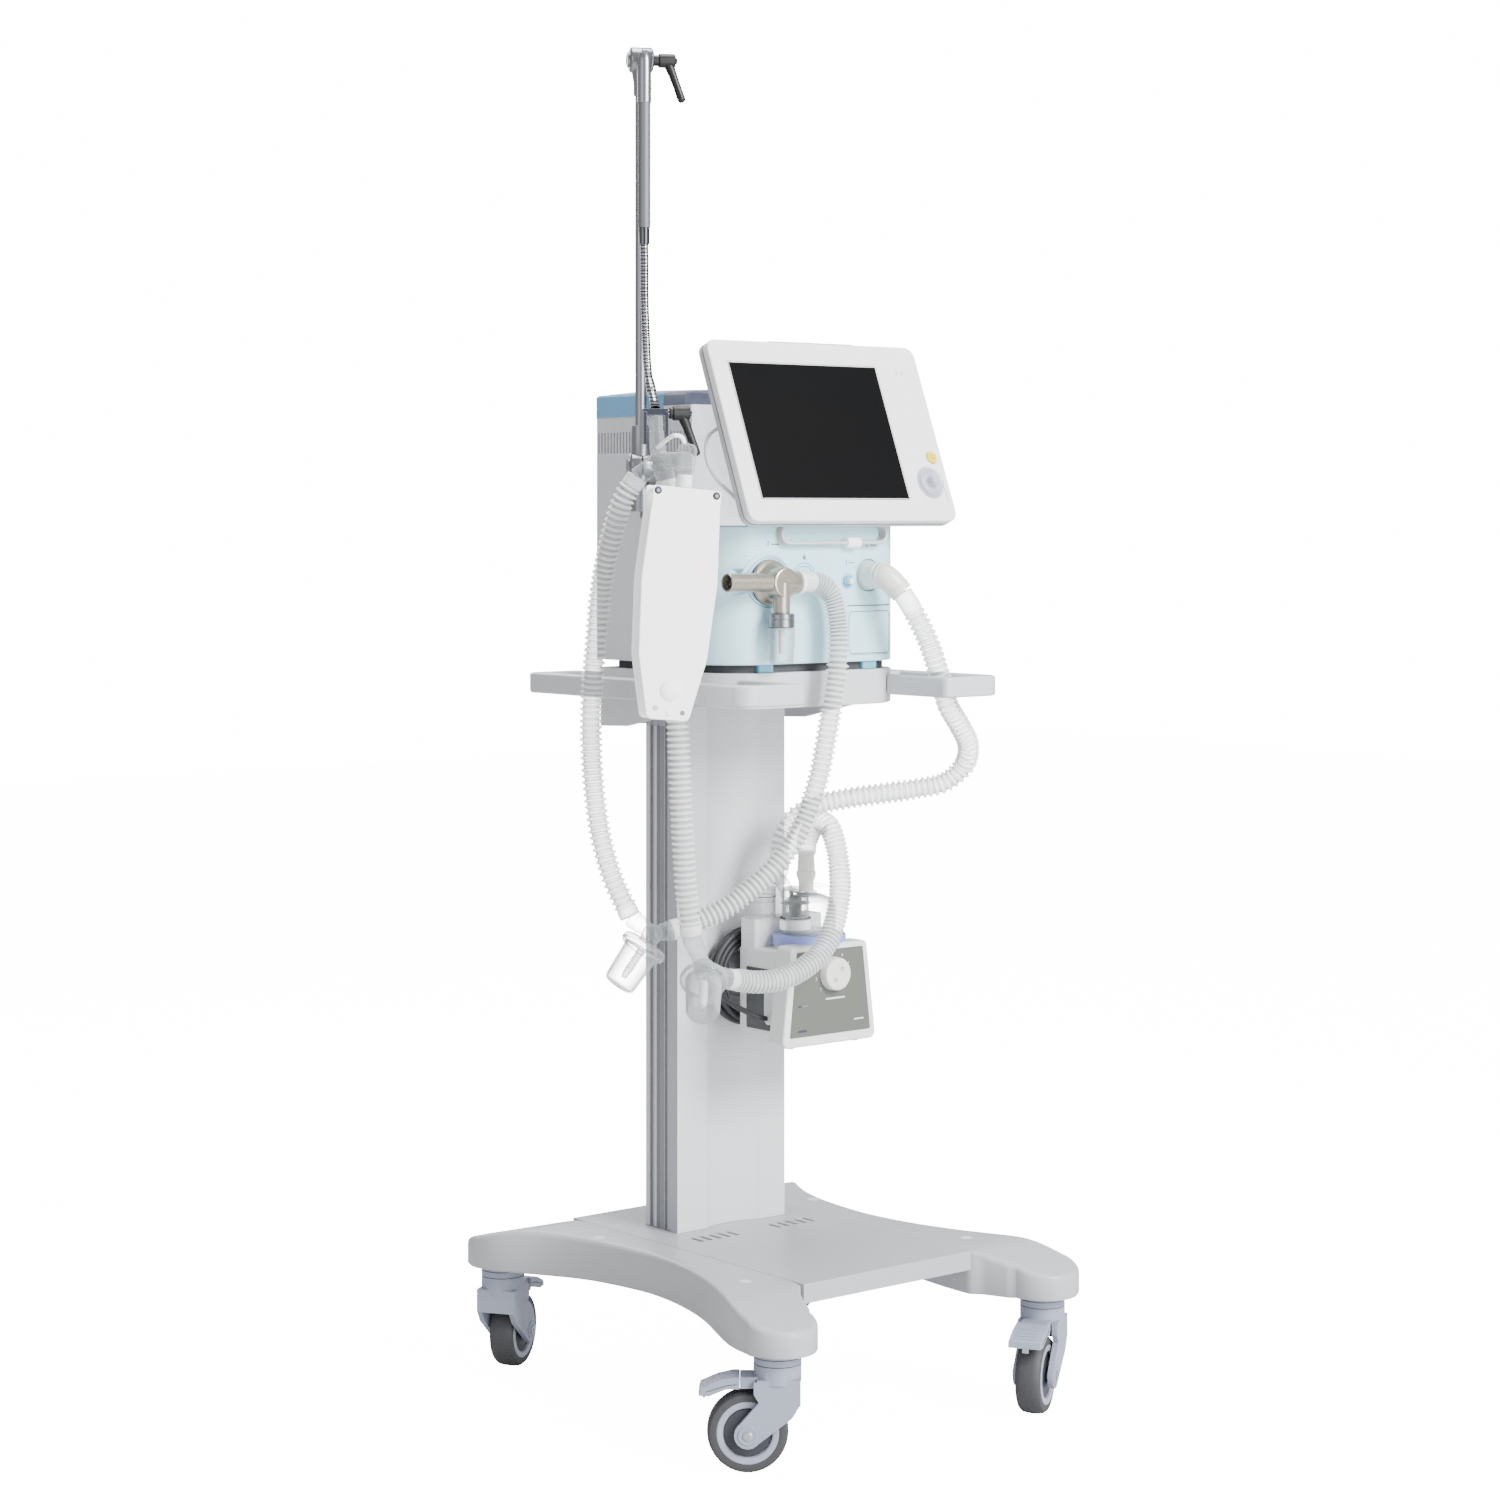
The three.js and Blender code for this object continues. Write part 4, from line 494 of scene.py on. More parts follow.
# ------------------------------------------------------------------ casters
YAW = {"fl": -39.4, "fr": 31.4, "rl": -147.5, "rr": 158}
for k, sx, sy in (("fl", -1, -1), ("fr", 1, -1), ("rl", -1, 1), ("rr", 1, 1)):
    th = math.radians(YAW[k]); cx, cy = sx * 218, sy * 281
    def L(x, y, z, th=th, cx=cx, cy=cy): return (cx + x * math.cos(th) - y * math.sin(th), cy + x * math.sin(th) + y * math.cos(th), z)
    ay_ = (-math.sin(th), math.cos(th), 0)
    soft("caster_fork_" + k, 'caster', 1.4, 3, 28)
    c0 = L(-35, 0, 48)
    ty = lathe("tyre_" + k, [(36.4, -15.4), (41, -16), (44.6, -15.2), (47, -12), (48, -6.5), (48.2, 0), (48, 6.5), (47, 12), (44.6, 15.2), (41, 16), (36.4, 15.4), (36.4, -15.4)], c0, ay_, MT['tyre'], 64)
    rim = lathe("rim_" + k, [(6, -12), (29, -12), (29.5, -15.4), (31, -16.2), (36, -16.2), (37.2, -15), (37.2, 15), (36, 16.2), (31, 16.2), (29.5, 15.4), (29, 12), (6, 12), (6, -12)], c0, ay_, MT['rim'], 64)
    hub = lathe("hub_" + k, [(6.2, -12.3), (9, -15.6), (12, -14.4), (27.6, -13.2), (28.6, -12), (28.6, 12), (27.6, 13.2), (12, 14.4), (9, 15.6), (6.2, 12.3), (6.2, -12.3)], c0, ay_, MT['hub'], 48)
    put(join("wheel_assembly_" + k, [ty, rim, hub]), "wheel_" + k, "tyre", "caster_wheel_" + k)
    det = []
    for s in (-1, 1):
        det.append(lathe("fcap%s%d" % (k, s), [(0, 0), (11.5, 0), (11.5, 0.9), (10.6, 1.3), (9.6, 1.0), (0, 1.5)], L(-35, s * 26, 48), tuple(s * v for v in ay_), MT['caster'], 32))
        det.append(lathe("fbolt%s%d" % (k, s), [(0, 1), (5.4, 1), (5.4, 2.6), (4.6, 3), (2.2, 3), (2.2, 2.2), (0, 2.2)], L(-35, s * 26, 48), tuple(s * v for v in ay_), MT['steel'], 24))
    for z, r in ((127.5, 26.9), (135.5, 28.45)):
        det.append(lathe("fs%s%d" % (k, z), [(r - 2, -0.5), (r, -0.4), (r, 0.4), (r - 2, 0.5), (r - 2, -0.5)], L(0, 0, z), (0, 0, 1), MT['casterd'], 48))
    # dark disc in the gap between the collar and the beam underside: painted shadow
    det.append(lathe("fgap" + k, [(0, -0.1), (25.2, -0.1), (25.2, 1.4), (0, 1.4)], L(0, 0, 141.3), (0, 0, 1), MT['casterd'], 48))
    put(join("caster_detail_" + k, det), "fork_" + k, "caster_plastic")
    soft("brake_pedal_" + k, 'caster', 1.1, 3, 24)
    def PF(x, z, y, L=L): return L(x, y, z)
    # dark filler plate in the gap between fork and pedal: painted shade
    put(gprism("pedal_gap_shade_" + k, [(-44.25, 101), (-43.2, 101), (-43.2, 113.6), (-44.25, 113.6)], PF, -16.7, 16.7, MT['casterd'], 0), "fork_" + k, "caster_plastic")
    pd = [gprism("pface" + k, [(-46, 101), (-44.6, 101), (-44.6, 113.7), (-46, 113.7)], PF, -20.8, 20.8, MT['caster'], 0), gprism("pseam" + k, [(-84, 98.2), (-60, 105.6), (-48, 107), (-48, 106.2), (-60, 104.8), (-84, 97.4)], PF, -21.35, 21.35, MT['casterd'], 0),
          gprism("ptab" + k, [(-88, 93.2), (-80.5, 93.2), (-80.5, 91.6), (-84, 91), (-84.8, 86.5), (-88, 86.5)], PF, -4, 4, MT['steel'], 0.5, 2)]
    if k in ("fr", "fl"):
        for i in range(5):
            xx = -86 + i * 5.5; zt = float(np.interp(xx, [-93, -91, -70, -52], [93, 101, 110, 114]))
            pd.append(gprism("prib%s%d" % (k, i), [(xx - 0.9, zt - 1), (xx + 0.9, zt - 0.4), (xx + 0.9, zt + 1.3), (xx - 0.9, zt + 0.9)], PF, -14, 14, MT['caster'], 0.4, 2))
    put(join("pedal_detail_" + k, pd), "pedal_" + k, "caster_plastic")

# ------------------------------------------------------------------ column
soft('column_extrusion', 'extr', 0.5)
cd = []
for s in (-1, 1):
    def SX(y, z, off, s=s): return (s * (88 + off), y, z)
    # recessed groove strips take the darker copy of the extrusion finish: painted shade in the grooves
    for y0, y1, mt, o in ((90.2, 96.6, 'extr', 0.25), (97.5, 102.5, 'groove', -2.2), (103.6, 111.4, 'inner', 0.15), (112.6, 119.4, 'groove', -1.2), (120.4, 123.4, 'cover', 0.3), (124, 126.6, 'extr', 0.3), (127.4, 133.6, 'groove', -2.2), (135, 142.4, 'cover', 0.2)):
        cd.append(gprism("cs%d%d" % (s, y0), [(y0, 199.5), (y1, 199.5), (y1, 850), (y0, 850)], SX, o - 0.8, o, MT[mt], 0.2, 1))
put(join("column_side_strips", cd), "trolley", "extrusion")
rec = [(-90, 73.2), (-41, 73)]
for i in range(1, 24):
    t = i / 24; rec.append((-41 + 89 * t, 73 + 13.5 * math.sin(math.pi * t) ** 0.75 * (1 - 0.35 * t)))
rec += [(48, 73), (90, 73.2), (90, 88), (-90, 88)]
cc = prism("column_cover_skin", rec, 198.4, 921.4, 'z', MT['cover'], 0)
for p in cc.data.polygons: p.use_smooth = True
set_sharp(cc.data, math.radians(14)); cc.data.materials.append(MT['extr'])
for p in cc.data.polygons:
    if abs(p.normal.x) > 0.9: p.material_index = 1
put(cc, "trolley", "cover_white", "column_front_cover")

# ------------------------------------------------------------------ tray, handles
soft('tray_body', 'tray', 1.6, 3)
for n_ in ('push_handle_left', 'push_handle_right'): soft(n_, 'handle', 4.2, 4, 40)
td = [gprism("tray_seam", [(12, 884), (13, 884), (13, 925), (12, 925)], FR, -0.6, 0.25, MT['dark'], 0)]
for s in (-1, 1):
    def SX(y, z, off, s=s): return (s * (152 + off), y, z)
    td.append(gprism("hnd_clip%d" % s, [(-30, 900), (-12, 900), (-12, 914), (-30, 914)], SX, -2, 9, MT['handle'], 2, 3))
    td.append(gprism("hnd_pin%d" % s, [(-47, 912), (-41, 912), (-41, 923), (-47, 923)], SX, -2, 12, MT['handle'], 1.5, 3))
put(join("tray_detail", td), "trolley", "tray_grey")
sh = prism("unit_shadow_gap", rrect(-140, 140, -96, 166, 50), 927.05, 936.6, 'z', MT['dark'], 0)
put(sh, "trolley", "inner")

# ------------------------------------------------------------------ unit shell
soft('unit_chassis_cover', 'side', 0.5, 2)
def fascia():
    cols = [(-152, -44.3, -1, 0)]
    ths = sorted(set([round(v, 4) for v in np.linspace(90, 0, 46)] + [round(math.degrees(math.asin((xx - 90) / 62)), 4) for xx in (112, 114, 115, 115.7, 116.3, 117, 133, 134.5)]), reverse=True)
    for th in ths[1:]:
        a = math.radians(th); cols.append((-90 - 62 * math.sin(a), -44 - 62 * math.cos(a), -math.sin(a), -math.cos(a)))
    for xx in sorted(set(list(np.linspace(-88, 90, 60)) + [44.6, 44.59])): cols.append((float(xx), -106, 0, -1))
    for th in sorted(set([round(v, 4) for v in np.linspace(0, 90, 46)] + [round(math.degrees(math.asin((xx - 90) / 62)), 4) for xx in (126.4,)]))[1:]:
        a = math.radians(th); cols.append((90 + 62 * math.sin(a), -44 - 62 * math.cos(a), math.sin(a), -math.cos(a)))
    zs = sorted(set([937.2, 937.6, 938.4, 1109.0, 1109.7, 1110.0, 945.6, 1009.0] + [float(v) for v in np.arange(941, 1108, 3)] + [float(v) for v in np.arange(1021, 1062, 0.8)]))
    verts = []; faces = []
    for z in zs:
        pull = max(0, 1 - (z - 937.2) / 1.2, 1 - (1110 - z) / 1.0) ** 2 * 0.9
        for x, y, nx, ny in cols:
            X, Y = x - nx * pull, y - ny * pull
            if x < -112:      # shallow pocket round the exhaust outlet
                d = -88 - Y
                if d > 0:
                    dx = (-116 - x); dz = min(z - 1025, 1057 - z)
                    r = 10; cx_ = max(0, r - dx); cz_ = max(0, r - dz)
                    e = r - math.hypot(cx_, cz_) if (cx_ > 0 or cz_ > 0) else min(dx, dz, r)
                    k = max(0, min(1, (e + 0.6) / 2.2)); k = k * k * (3 - 2 * k)
                    Y += d * k
            verts.append(W((X, Y, z)))
    n = len(cols)
    for i in range(len(zs) - 1):
        for j in range(n - 1):
            xm = (cols[j][0] + cols[j + 1][0]) / 2; zm = (zs[i] + zs[i + 1]) / 2
            if 44.6 < xm < 126.4 and 945.6 < zm < 1009: continue
            faces.append((i * n + j, i * n + j + 1, (i + 1) * n + j + 1, (i + 1) * n + j))
    ob = obj_from("fascia_skin", verts, faces, MT['cyan'], True, 50)
    m = ob.modifiers.new("sol", 'SOLIDIFY'); m.thickness = 0.0035; m.offset = -1
    return ob
fs = fascia()
feet = [prism("fascia_foot%d" % x, rrect(x - 12, x + 12, -102, -84, 3), 927.4, 938, 'z', MT['cyan2'], 0.8, 2) for x in (-86, 86)]
put(join("fascia_moulding", [fs] + feet), "trolley", "cyan", "front_fascia")
soft('sensor_door', 'cyan', 0.7, 2)
soft('front_panel_upper', 'panelw', 2.0, 3)
soft('blower_module', 'inner', 1.0)
soft('valve_lock_knob', 'cyan', 0.9, 3)
# dark sheets behind the side vent slots: painted shade inside the vents
vd = [gprism("vent_painted_shade", [(-30, 1198), (160, 1198), (160, 1236), (-30, 1236)], SL, -5.2, -4.6, MT['dark'], 0)]
vd.append(gprism("vent_painted_shade_r", [(-30, 1198), (160, 1198), (160, 1236), (-30, 1236)], lambda y, z, o: (152 + o, y, z), -5.2, -4.6, MT['dark'], 0))
put(join("vent_painted_shade", vd), "trolley", "inner")
seam = [band("seam_side_top", dense([(172, 1248.5), (-36, 1248.5)], False, 20), 0.7, SL, 0.12, 0.5, MT['dgrey'], False),
        band("seam_side_front", dense([(-44.2, 940), (-44.2, 1110), (-34.3, 1110), (-34.3, 1250)], False, 20), 0.8, SL, 0.15, 0.6, MT['dark'], False)]
put(join("chassis_seams", seam), "trolley", "side_grey")
# top: slate dome above a light blue band that wraps the rear
def planu(w, f, r, c, rc=18, n=10): return fillet([(-w, r, rc), (-w, f, c), (w, f, c), (w, r, rc)], n)
rows = [(0, 1262.4), (0, 1274.5), (1.6, 1276.6), (5, 1278.2), (14, 1280.2), (34, 1283.0), (62, 1285.2), (90, 1286.0)]
base_o = planu(152, -106, 176, 62)
verts = []; faces = []; n_ = len(base_o)
cen = Vector((0, 35))
fr_cut = -21.5
for ins, z in rows:
    for p in planu(max(20, 152 - ins), -106 + ins, 176 - ins, max(8, 62 - ins * 0.6), max(6, 18 - ins * 0.15)):
        y = max(p[1], fr_cut + ins * 0.25); zz = z
        if y < 20: zz = z - max(0, (20 - y)) * 0.10 * (ins / 90 + 0.1)
        verts.append(W((p[0], y, zz)))
m_ = len(rows)
for i in range(m_ - 1):
    for k in range(n_):
        l = (k + 1) % n_; faces.append((i * n_ + k, i * n_ + l, (i + 1) * n_ + l, (i + 1) * n_ + k))
faces += [tuple(range(n_)), tuple((m_ - 1) * n_ + k for k in range(n_))]
dome = obj_from("top_dome", verts, faces, MT['top'], True, 38)
put(dome, "trolley", "dark_blue", "top_cover")
bandp = [p for p in dense(planu(152.35, -106, 176.35, 62), True, 3) if p[1] > 20]
k0 = max(range(len(bandp)), key=lambda i: math.dist(bandp[i], bandp[i - 1])); bandp = bandp[k0:] + bandp[:k0]
bv = []; bf = []
for x, y in bandp:
    d = Vector((x, y)) - Vector((0, 60)); ix, iy = x * 0.985, 60 + (y - 60) * 0.985
    for q in ((x, y, 1249.5), (x, y, 1275.8), (ix, iy, 1278.6), (ix, iy, 1249.5)): bv.append(W(q))
for i in range(len(bandp) - 1):
    for k in range(4): l = (k + 1) % 4; bf.append((i * 4 + k, i * 4 + l, i * 4 + 4 + l, i * 4 + 4 + k))
bf += [(0, 1, 2, 3), tuple((len(bandp) - 1) * 4 + k for k in range(4))]
put(obj_from("top_band", bv, bf, MT['band'], True, 30), "trolley", "dark_blue")
# fascia details
fx = []
fx.append(band("fascia_top_seam", [(x, 1110.2) for x in np.linspace(-148, 148, 120)], 1.0, FR, 0.1, 1.2, MT['markd'], False))
fx.append(band("valve_ring", arcp(-86, 1040, 31.5, 0, 360, 64)[:-1], 1.2, FR, 0.5, 1.5, MT['cyan2']))
fx.append(band("valve_ring2", arcp(-86, 1040, 36.0, 15, 165, 48), 4.2, FR, 1.5, 2.5, MT['cyan'], False))
for r in (14.5, 18.5): fx.append(band("lock_arc%d" % r, arcp(-28, 1045, r, 20, 160, 24), 1.0, FR, 0.4, 1.2, MT['cyan2'], False))
fx.append(band("port_ring", arcp(78.5, 1047, 22.0, 0, 360, 56)[:-1], 2.2, FR, 0.9, 2.0, MT['cyan']))
fx.append(band("port_ring_in", arcp(78.5, 1047, 20.2, 0, 360, 56)[:-1], 0.9, FR, 0.5, 1.6, MT['markd']))
fx.append(band("neb_ring", arcp(44, 1040, 9.6, 0, 360, 32)[:-1], 0.8, FR, 0.3, 1.2, MT['cyan2']))
dr = dense(rrect(46.5, 124.5, 947.5, 1001, 7), True, 3)
fx.append(band("door_inset", dr, 0.8, FR, 0.12, 0.8, MT['markd']))
fx.append(band("door_top", dense([(45.6, 1008.5), (125.4, 1008.5)], False, 3), 0.9, FR, 0.12, 0.9, MT['markd'], False))
# symbols: small plain figures and bars
def fig(x, z, s, nm):
    out = [gprism(nm + "h", circle(0.9 * s, 12, x, z + 3.1 * s), FR, -0.3, 0.12, MT['markd'], 0)]
    out.append(gprism(nm + "b", [(x - 0.4 * s, z - 0.6 * s), (x + 0.4 * s, z - 0.6 * s), (x + 0.4 * s, z + 2.1 * s), (x - 0.4 * s, z + 2.1 * s)], FR, -0.3, 0.12, MT['markd'], 0))
    out.append(gprism(nm + "a", [(x - 1.8 * s, z + 1.1 * s), (x + 1.8 * s, z + 1.1 * s), (x + 1.8 * s, z + 1.6 * s), (x - 1.8 * s, z + 1.6 * s)], FR, -0.3, 0.12, MT['markd'], 0))
    for q in (-1, 1): out.append(gprism(nm + "l%d" % q, [(x - 0.1 * q * s, z - 0.4 * s), (x + 0.5 * q * s, z - 0.4 * s), (x + 1.5 * q * s, z - 3 * s), (x + 0.9 * q * s, z - 3 * s)][::q], FR, -0.3, 0.12, MT['markd'], 0))
    return out
fx += fig(-87, 1088, 1.0, "sym1") + fig(77, 1086, 1.0, "sym2") + fig(42, 1063, 0.9, "sym3")
for x0, x1, z0, z1 in ((-82, -69, 1086.5, 1088.2), (82, 92, 1084.6, 1086.2), (-119, -103, 1072.2, 1073.8), (46, 56, 1062.6, 1063.8)):
    fx.append(gprism("bar%d" % x0, [(x0, z0), (x1, z0), (x1, z1), (x0, z1)], FR, -0.3, 0.12, MT['mark'], 0))
fx.append(band("lock_sym", arcp(-28, 1073, 2.0, 0, 180, 10), 0.7, FR, 0.15, 0.5, MT['mark'], False))
fx.append(gprism("lock_sym2", [(-30.4, 1068), (-25.6, 1068), (-25.6, 1072.6), (-30.4, 1072.6)], FR, -0.3, 0.12, MT['mark'], 0))
put(join("fascia_detail", fx), "trolley", "cyan")
nb = [solid_lathe("neb_stub", [(4.1, 0), (4.1, 9.5), (3.4, 10.2)], (44, -106, 1040), (0, -1, 0), MT['white'], 20), solid_lathe("neb_base", [(7.6, 0), (7.6, 2.6), (7, 3.2)], (44, -106, 1040), (0, -1, 0), MT['cyan2'], 24)]
put(join("nebuliser_port", nb), "trolley", "cyan")

wrapv = []
for i in range(9):
    x = 34 + 22 * i / 8
    wrapv.append((x, -114.6, 1088.9))
put(sweep("cable_wrap", wrapv, [6.2, 7.0, 7.2, 7.1, 7.2, 7.1, 7.2, 7.0, 6.2], MT['plate'], 28), "trolley", "cable")
# ------------------------------------------------------------------ expiratory valve and jar
ev = [solid_lathe("ev_fl", [(27.6, 0), (28.4, 0.8), (28.4, 4.6), (27.6, 5.6), (25.6, 5.9), (25.3, 6.6), (24.2, 7.2), (22, 9.4), (20.4, 13.4), (19.0, 14.8), (19.0, 32.6), (18.2, 34.2), (16.4, 34.8), (15.8, 34.0), (3, 34.2)], (-86, -106.4, 1040), (0, -1, 0), MT['nickel'], 64),
      solid_lathe("ev_seal", [(28.7, 0.0), (28.7, 1.4), (28.0, 1.5)], (-86, -106.2, 1040), (0, -1, 0), MT['dark'], 64),
      lathe("ev_exh", [(0, 0), (11.5, 0), (11.5, 84), (11.0, 84.8), (9.6, 84.8), (9.4, 84), (9.4, 74), (0, 74)], (-86, -128, 1040), (-1, 0, 0.012), MT['nickel'], 40),
      solid_lathe("ev_exhring", [(11.5, 40), (11.9, 40.4), (11.9, 41.2), (11.5, 41.6)], (-86, -128, 1040), (-1, 0, 0.012), MT['nickel'], 40),
      solid_lathe("ev_port", [(13.4, 0), (13.4, 26.5), (12.6, 28.6)], (-86, -128, 1040), (1, 0, 0), MT['nickel'], 40),
      solid_lathe("ev_stem", [(10.5, 0), (10.5, 36), (10.0, 38.4)], (-86, -131, 1040), (0, 0, -1), MT['nickel'], 40),
      solid_lathe("ev_collar", [(14.6, 38), (16, 39), (16.1, 44), (15.7, 44.6), (16.1, 45.2), (16.1, 54.6), (15.2, 55.8)], (-86, -131, 1040), (0, 0, -1), MT['alu'], 48)]
# dark disc set inside the exhaust outlet's bore: painted shade
bore_shade_disc = solid_lathe("ev_bore_shade", [(9.3, 70), (9.3, 75)], (-86, -128, 1040), (-1, 0, 0.012), MT['dark'], 32); ev.append(bore_shade_disc)
for i in range(3):
    a = math.radians(90 + 120 * i); q = (math.cos(a), math.sin(a))
    ev.append(sweep("ev_sp%d" % i, [(-86 - 77, -128, 1040.9), (-86 - 77, -128 + 4.7 * q[0], 1040.9 + 4.7 * q[1]), (-86 - 77, -128 + 9.3 * q[0], 1040.9 + 9.3 * q[1])], 0.9, MT['alu'], 8))
ev.append(solid_lathe("ev_cuffring", [(13.6, 27.6), (15.0, 28.2), (15.0, 31.4), (13.6, 32)], (-86, -128, 1040), (1, 0, 0), MT['plate'], 40))
put(join("expiratory_valve_metal", ev), "trolley", "nickel", "expiratory_valve")
jar = lathe("jar_glass", [(0, 0), (13.4, 0), (15, 1.4), (17.4, 44), (15.9, 44), (13.6, 2.6), (0, 2.6)], (-86, -131, 939.6), (0, 0, 1), MT['clear'], 48)
jt = lathe("jar_tube", [(0, 10), (3.4, 10), (4.2, 40), (3.2, 40), (2.6, 11), (0, 11)], (-86, -131, 942), (0, 0, 1), MT['ivory'], 24)
jr = solid_lathe("jar_rim", [(17.4, 42.4), (17.7, 43), (17.7, 44)], (-86, -131, 939.6), (0, 0, 1), MT['clear'], 48)
put(join("expiratory_jar_glass", [jar, jt, jr]), "trolley", "clear", "expiratory_trap_jar")

# ------------------------------------------------------------------ inspiratory port
ie = [solid_lathe("ip_a", [(18.2, 0), (18.5, 0.8), (17.6, 12), (17.0, 22), (17.2, 22.4), (17.2, 24.4), (16.4, 24.8), (16.4, 32)], (78.5, -106.4, 1047), (0, -1, 0), MT['ivory'], 56)]
cvs = [(78.5, -128, 1047), (78.5, -134, 1046.6), (80.5, -140, 1044), (84.5, -144.2, 1039.4), (88.6, -147.6, 1033.8), (95, -153, 1025)]
P_, L_ = smooth_path(cvs, 1.0)
ie.append(sweep("ip_b", P_, np.interp(np.linspace(0, 1, len(P_)), [0, .3, .75, .8, .84, .9, 1], [16.4, 16.2, 15.3, 16.0, 16.0, 14.8, 14.8]), MT['ivory'], 40))
put(join("inspiratory_elbow", ie), "trolley", "white", "inspiratory_port")

# ------------------------------------------------------------------ display
soft('monitor_bezel', 'white', 2.6, 4)
soft('monitor_screen', 'screen', 0.3, 2)
soft('monitor_back_housing', 'dgrey', 2.0, 3)
soft('monitor_hinge_bracket', 'inner', 1.0)
md = [band("screen_edge", dense([(-122.2, -91.6), (122.2, -91.6), (122.2, 91.6), (-122.2, 91.6)], True, 8), 1.1, MON, -0.85, 0.4, MT['dgrey']),
      gprism("alarm_bar", rrect(-47, 94, 121.2, 123.4, 0.9, 3), lambda u, v, o: MON(u, v, o), -9.5, -2.6, MT['mark'], 0.4, 2)]
md.append(band("bezel_seam", dense(rrect(-149.8, 196.8, -121.8, 121.8, 14), True, 6), 0.7, MON, -12.35, 0.3, MT['mark']))
md.append(solid_lathe("enc_ring", [(20.9, -1.2), (20.9, 0.2), (20.3, 0.45), (19.8, 0.1)], MON(165, -69, 0), MOUT, MT['dgrey'], 56))
for (u, v) in ((156, 84), (166, 84)):
    md.append(band("ind%d" % u, arcp(u, v, 1.5, 0, 360, 16)[:-1], 0.5, MON, 0.12, 0.4, MT['mark']))
put(join("display_detail", md), "display", "white")
kn = solid_lathe("encoder_dial", [(18.6, -4.4), (19.3, -3.6), (19.3, 2.2), (18.6, 3.6), (17.4, 3.4), (14.0, 1.4), (10.6, 1.6), (8.8, 3.4), (8.0, 7.0), (7.6, 11.2), (6.6, 13.0), (4.2, 13.4), (2.4, 12.8), (0.8, 12.6)], MON(165, -69, 0), MOUT, MT['knob'], 64)
put(kn, "encoder", "knob", "monitor_encoder_knob")
yb = solid_lathe("standby_cap", [(7.2, -4.6), (7.8, -4), (7.8, 0.9), (7.1, 1.5), (3, 1.7)], MON(179, -34, 0), MOUT, MT['yellow'], 40)
yi = band("standby_sym", arcp(179, -34, 3.2, 120, 420, 24), 0.7, MON, 1.85, 0.5, MT['markd'], False)
put(join("standby_key", [yb, yi]), "standby", "yellow", "standby_button")

# ------------------------------------------------------------------ arm
AY = math.radians(-27.8); AX = (math.cos(AY), math.sin(AY), 0); FD = (AX[1], -AX[0], 0); POLE = (-180, 33)
def at(a, f, z, o=POLE): return (o[0] + AX[0] * a + FD[0] * f, o[1] + AX[1] * a + FD[1] * f, z)
NAX = tuple(-v for v in AX)
HALF = [(15.2, 0.35), (16, 0.9), (16, 12.4), (15.2, 13.8), (13.2, 15.0), (10.6, 15.3)]
def knuck(nm, c, ax_, mat, boss=True):
    out = [solid_lathe(nm, HALF, c, ax_, mat, 56)]
    if boss: out.append(solid_lathe(nm + "b", [(9.6, 15), (9.6, 17.0), (8.8, 17.9), (6.6, 18), (6.2, 17), (2, 17)], c, ax_, mat, 40))
    return out
wb = [prism("wall_plate", rrect(2, 64, 1118, 1166, 6), -158.5, -152.4, 'x', MT['alu'], 1.4, 3), prism("wall_web", rrect(24, 42, 1131, 1155, 3), -182, -157, 'x', MT['alu'], 1.4, 3),
      solid_lathe("wall_boss", [(12, 0), (13, 1), (13, 29), (12, 30)], (-180, 33, 1128), (0, 0, 1), MT['alu'], 40)]
put(join("arm_wall_mount", wb), "trolley", "alloy", "arm_wall_bracket")
kb = knuck("kb", at(0, 0, 1186), NAX, MT['alu']) + [solid_lathe("kb_neck", [(10, 0), (10, 9), (9.6, 9.6), (10.4, 20)], (-180, 33, 1158.4), (0, 0, 1), MT['alu'], 40)]
put(join("arm_base_joint", kb), "arm_base", "alloy", "arm_base_knuckle")
pm = knuck("pk", at(0, 0, 1186), AX, MT['alu'], False) + [
    solid_lathe("p_col", [(11.6, 12), (12, 14), (12, 40), (11.5, 50.2), (10.2, 51)], (-180, 33, 1186), (0, 0, 1), MT['alu'], 40),
    solid_lathe("p_tube", [(7.25, 0), (7.25, 430)], (-180, 33, 1236), (0, 0, 1), MT['alu'], 40),
    solid_lathe("p_top", [(8.6, 0), (9.4, 1), (9.5, 16), (11.2, 26), (12.2, 34)], (-180, 33, 1652), (0, 0, 1), MT['alu'], 40)] + knuck("pk2", at(0, 0, 1697), NAX, MT['alu'])
put(join("arm_mast_tube", pm), "arm_mast", "alloy", "arm_pole")
ut = knuck("uk", at(0, 0, 1697), AX, MT['alu'], False) + [
    solid_lathe("u_tube", [(7.8, 0), (7.8, 160)], at(0, 25.5, 1484), (0, 0, 1), MT['agrey'], 40),
    solid_lathe("u_cap", [(8.3, 0), (8.8, 0.8), (8.8, 52), (8.2, 58), (6.5, 62), (3, 64)], at(0, 25.5, 1640), (0, 0, 1), MT['alu'], 40),
    sweep("u_web", [at(3.2, 4, 1698), at(3.6, 14, 1698.5), at(2.4, 22, 1694), at(1, 25.4, 1686)], [11, 9.4, 8.8, 8.2], MT['alu'], 28),
    solid_lathe("u_fer", [(5.8, 0), (6.8, 0.8), (6.8, 20.6), (6.9, 21)], at(0, 25.5, 1462.8), (0, 0, 1), MT['chrome'], 40)]
put(join("arm_upper_tube_skin", ut), "arm_upper", "alloy", "arm_upper_tube")
CL = (-238, -72)
g0 = at(0, 25.5, 1462.7)
gp, GL = smooth_path([g0, (g0[0] - 1, g0[1] - 2, 1440), (-197, 3, 1395), (-205, -10, 1350), (-217, -30, 1300), (-235, -66, 1262), (-237, -70, 1254.4)], 0.55)
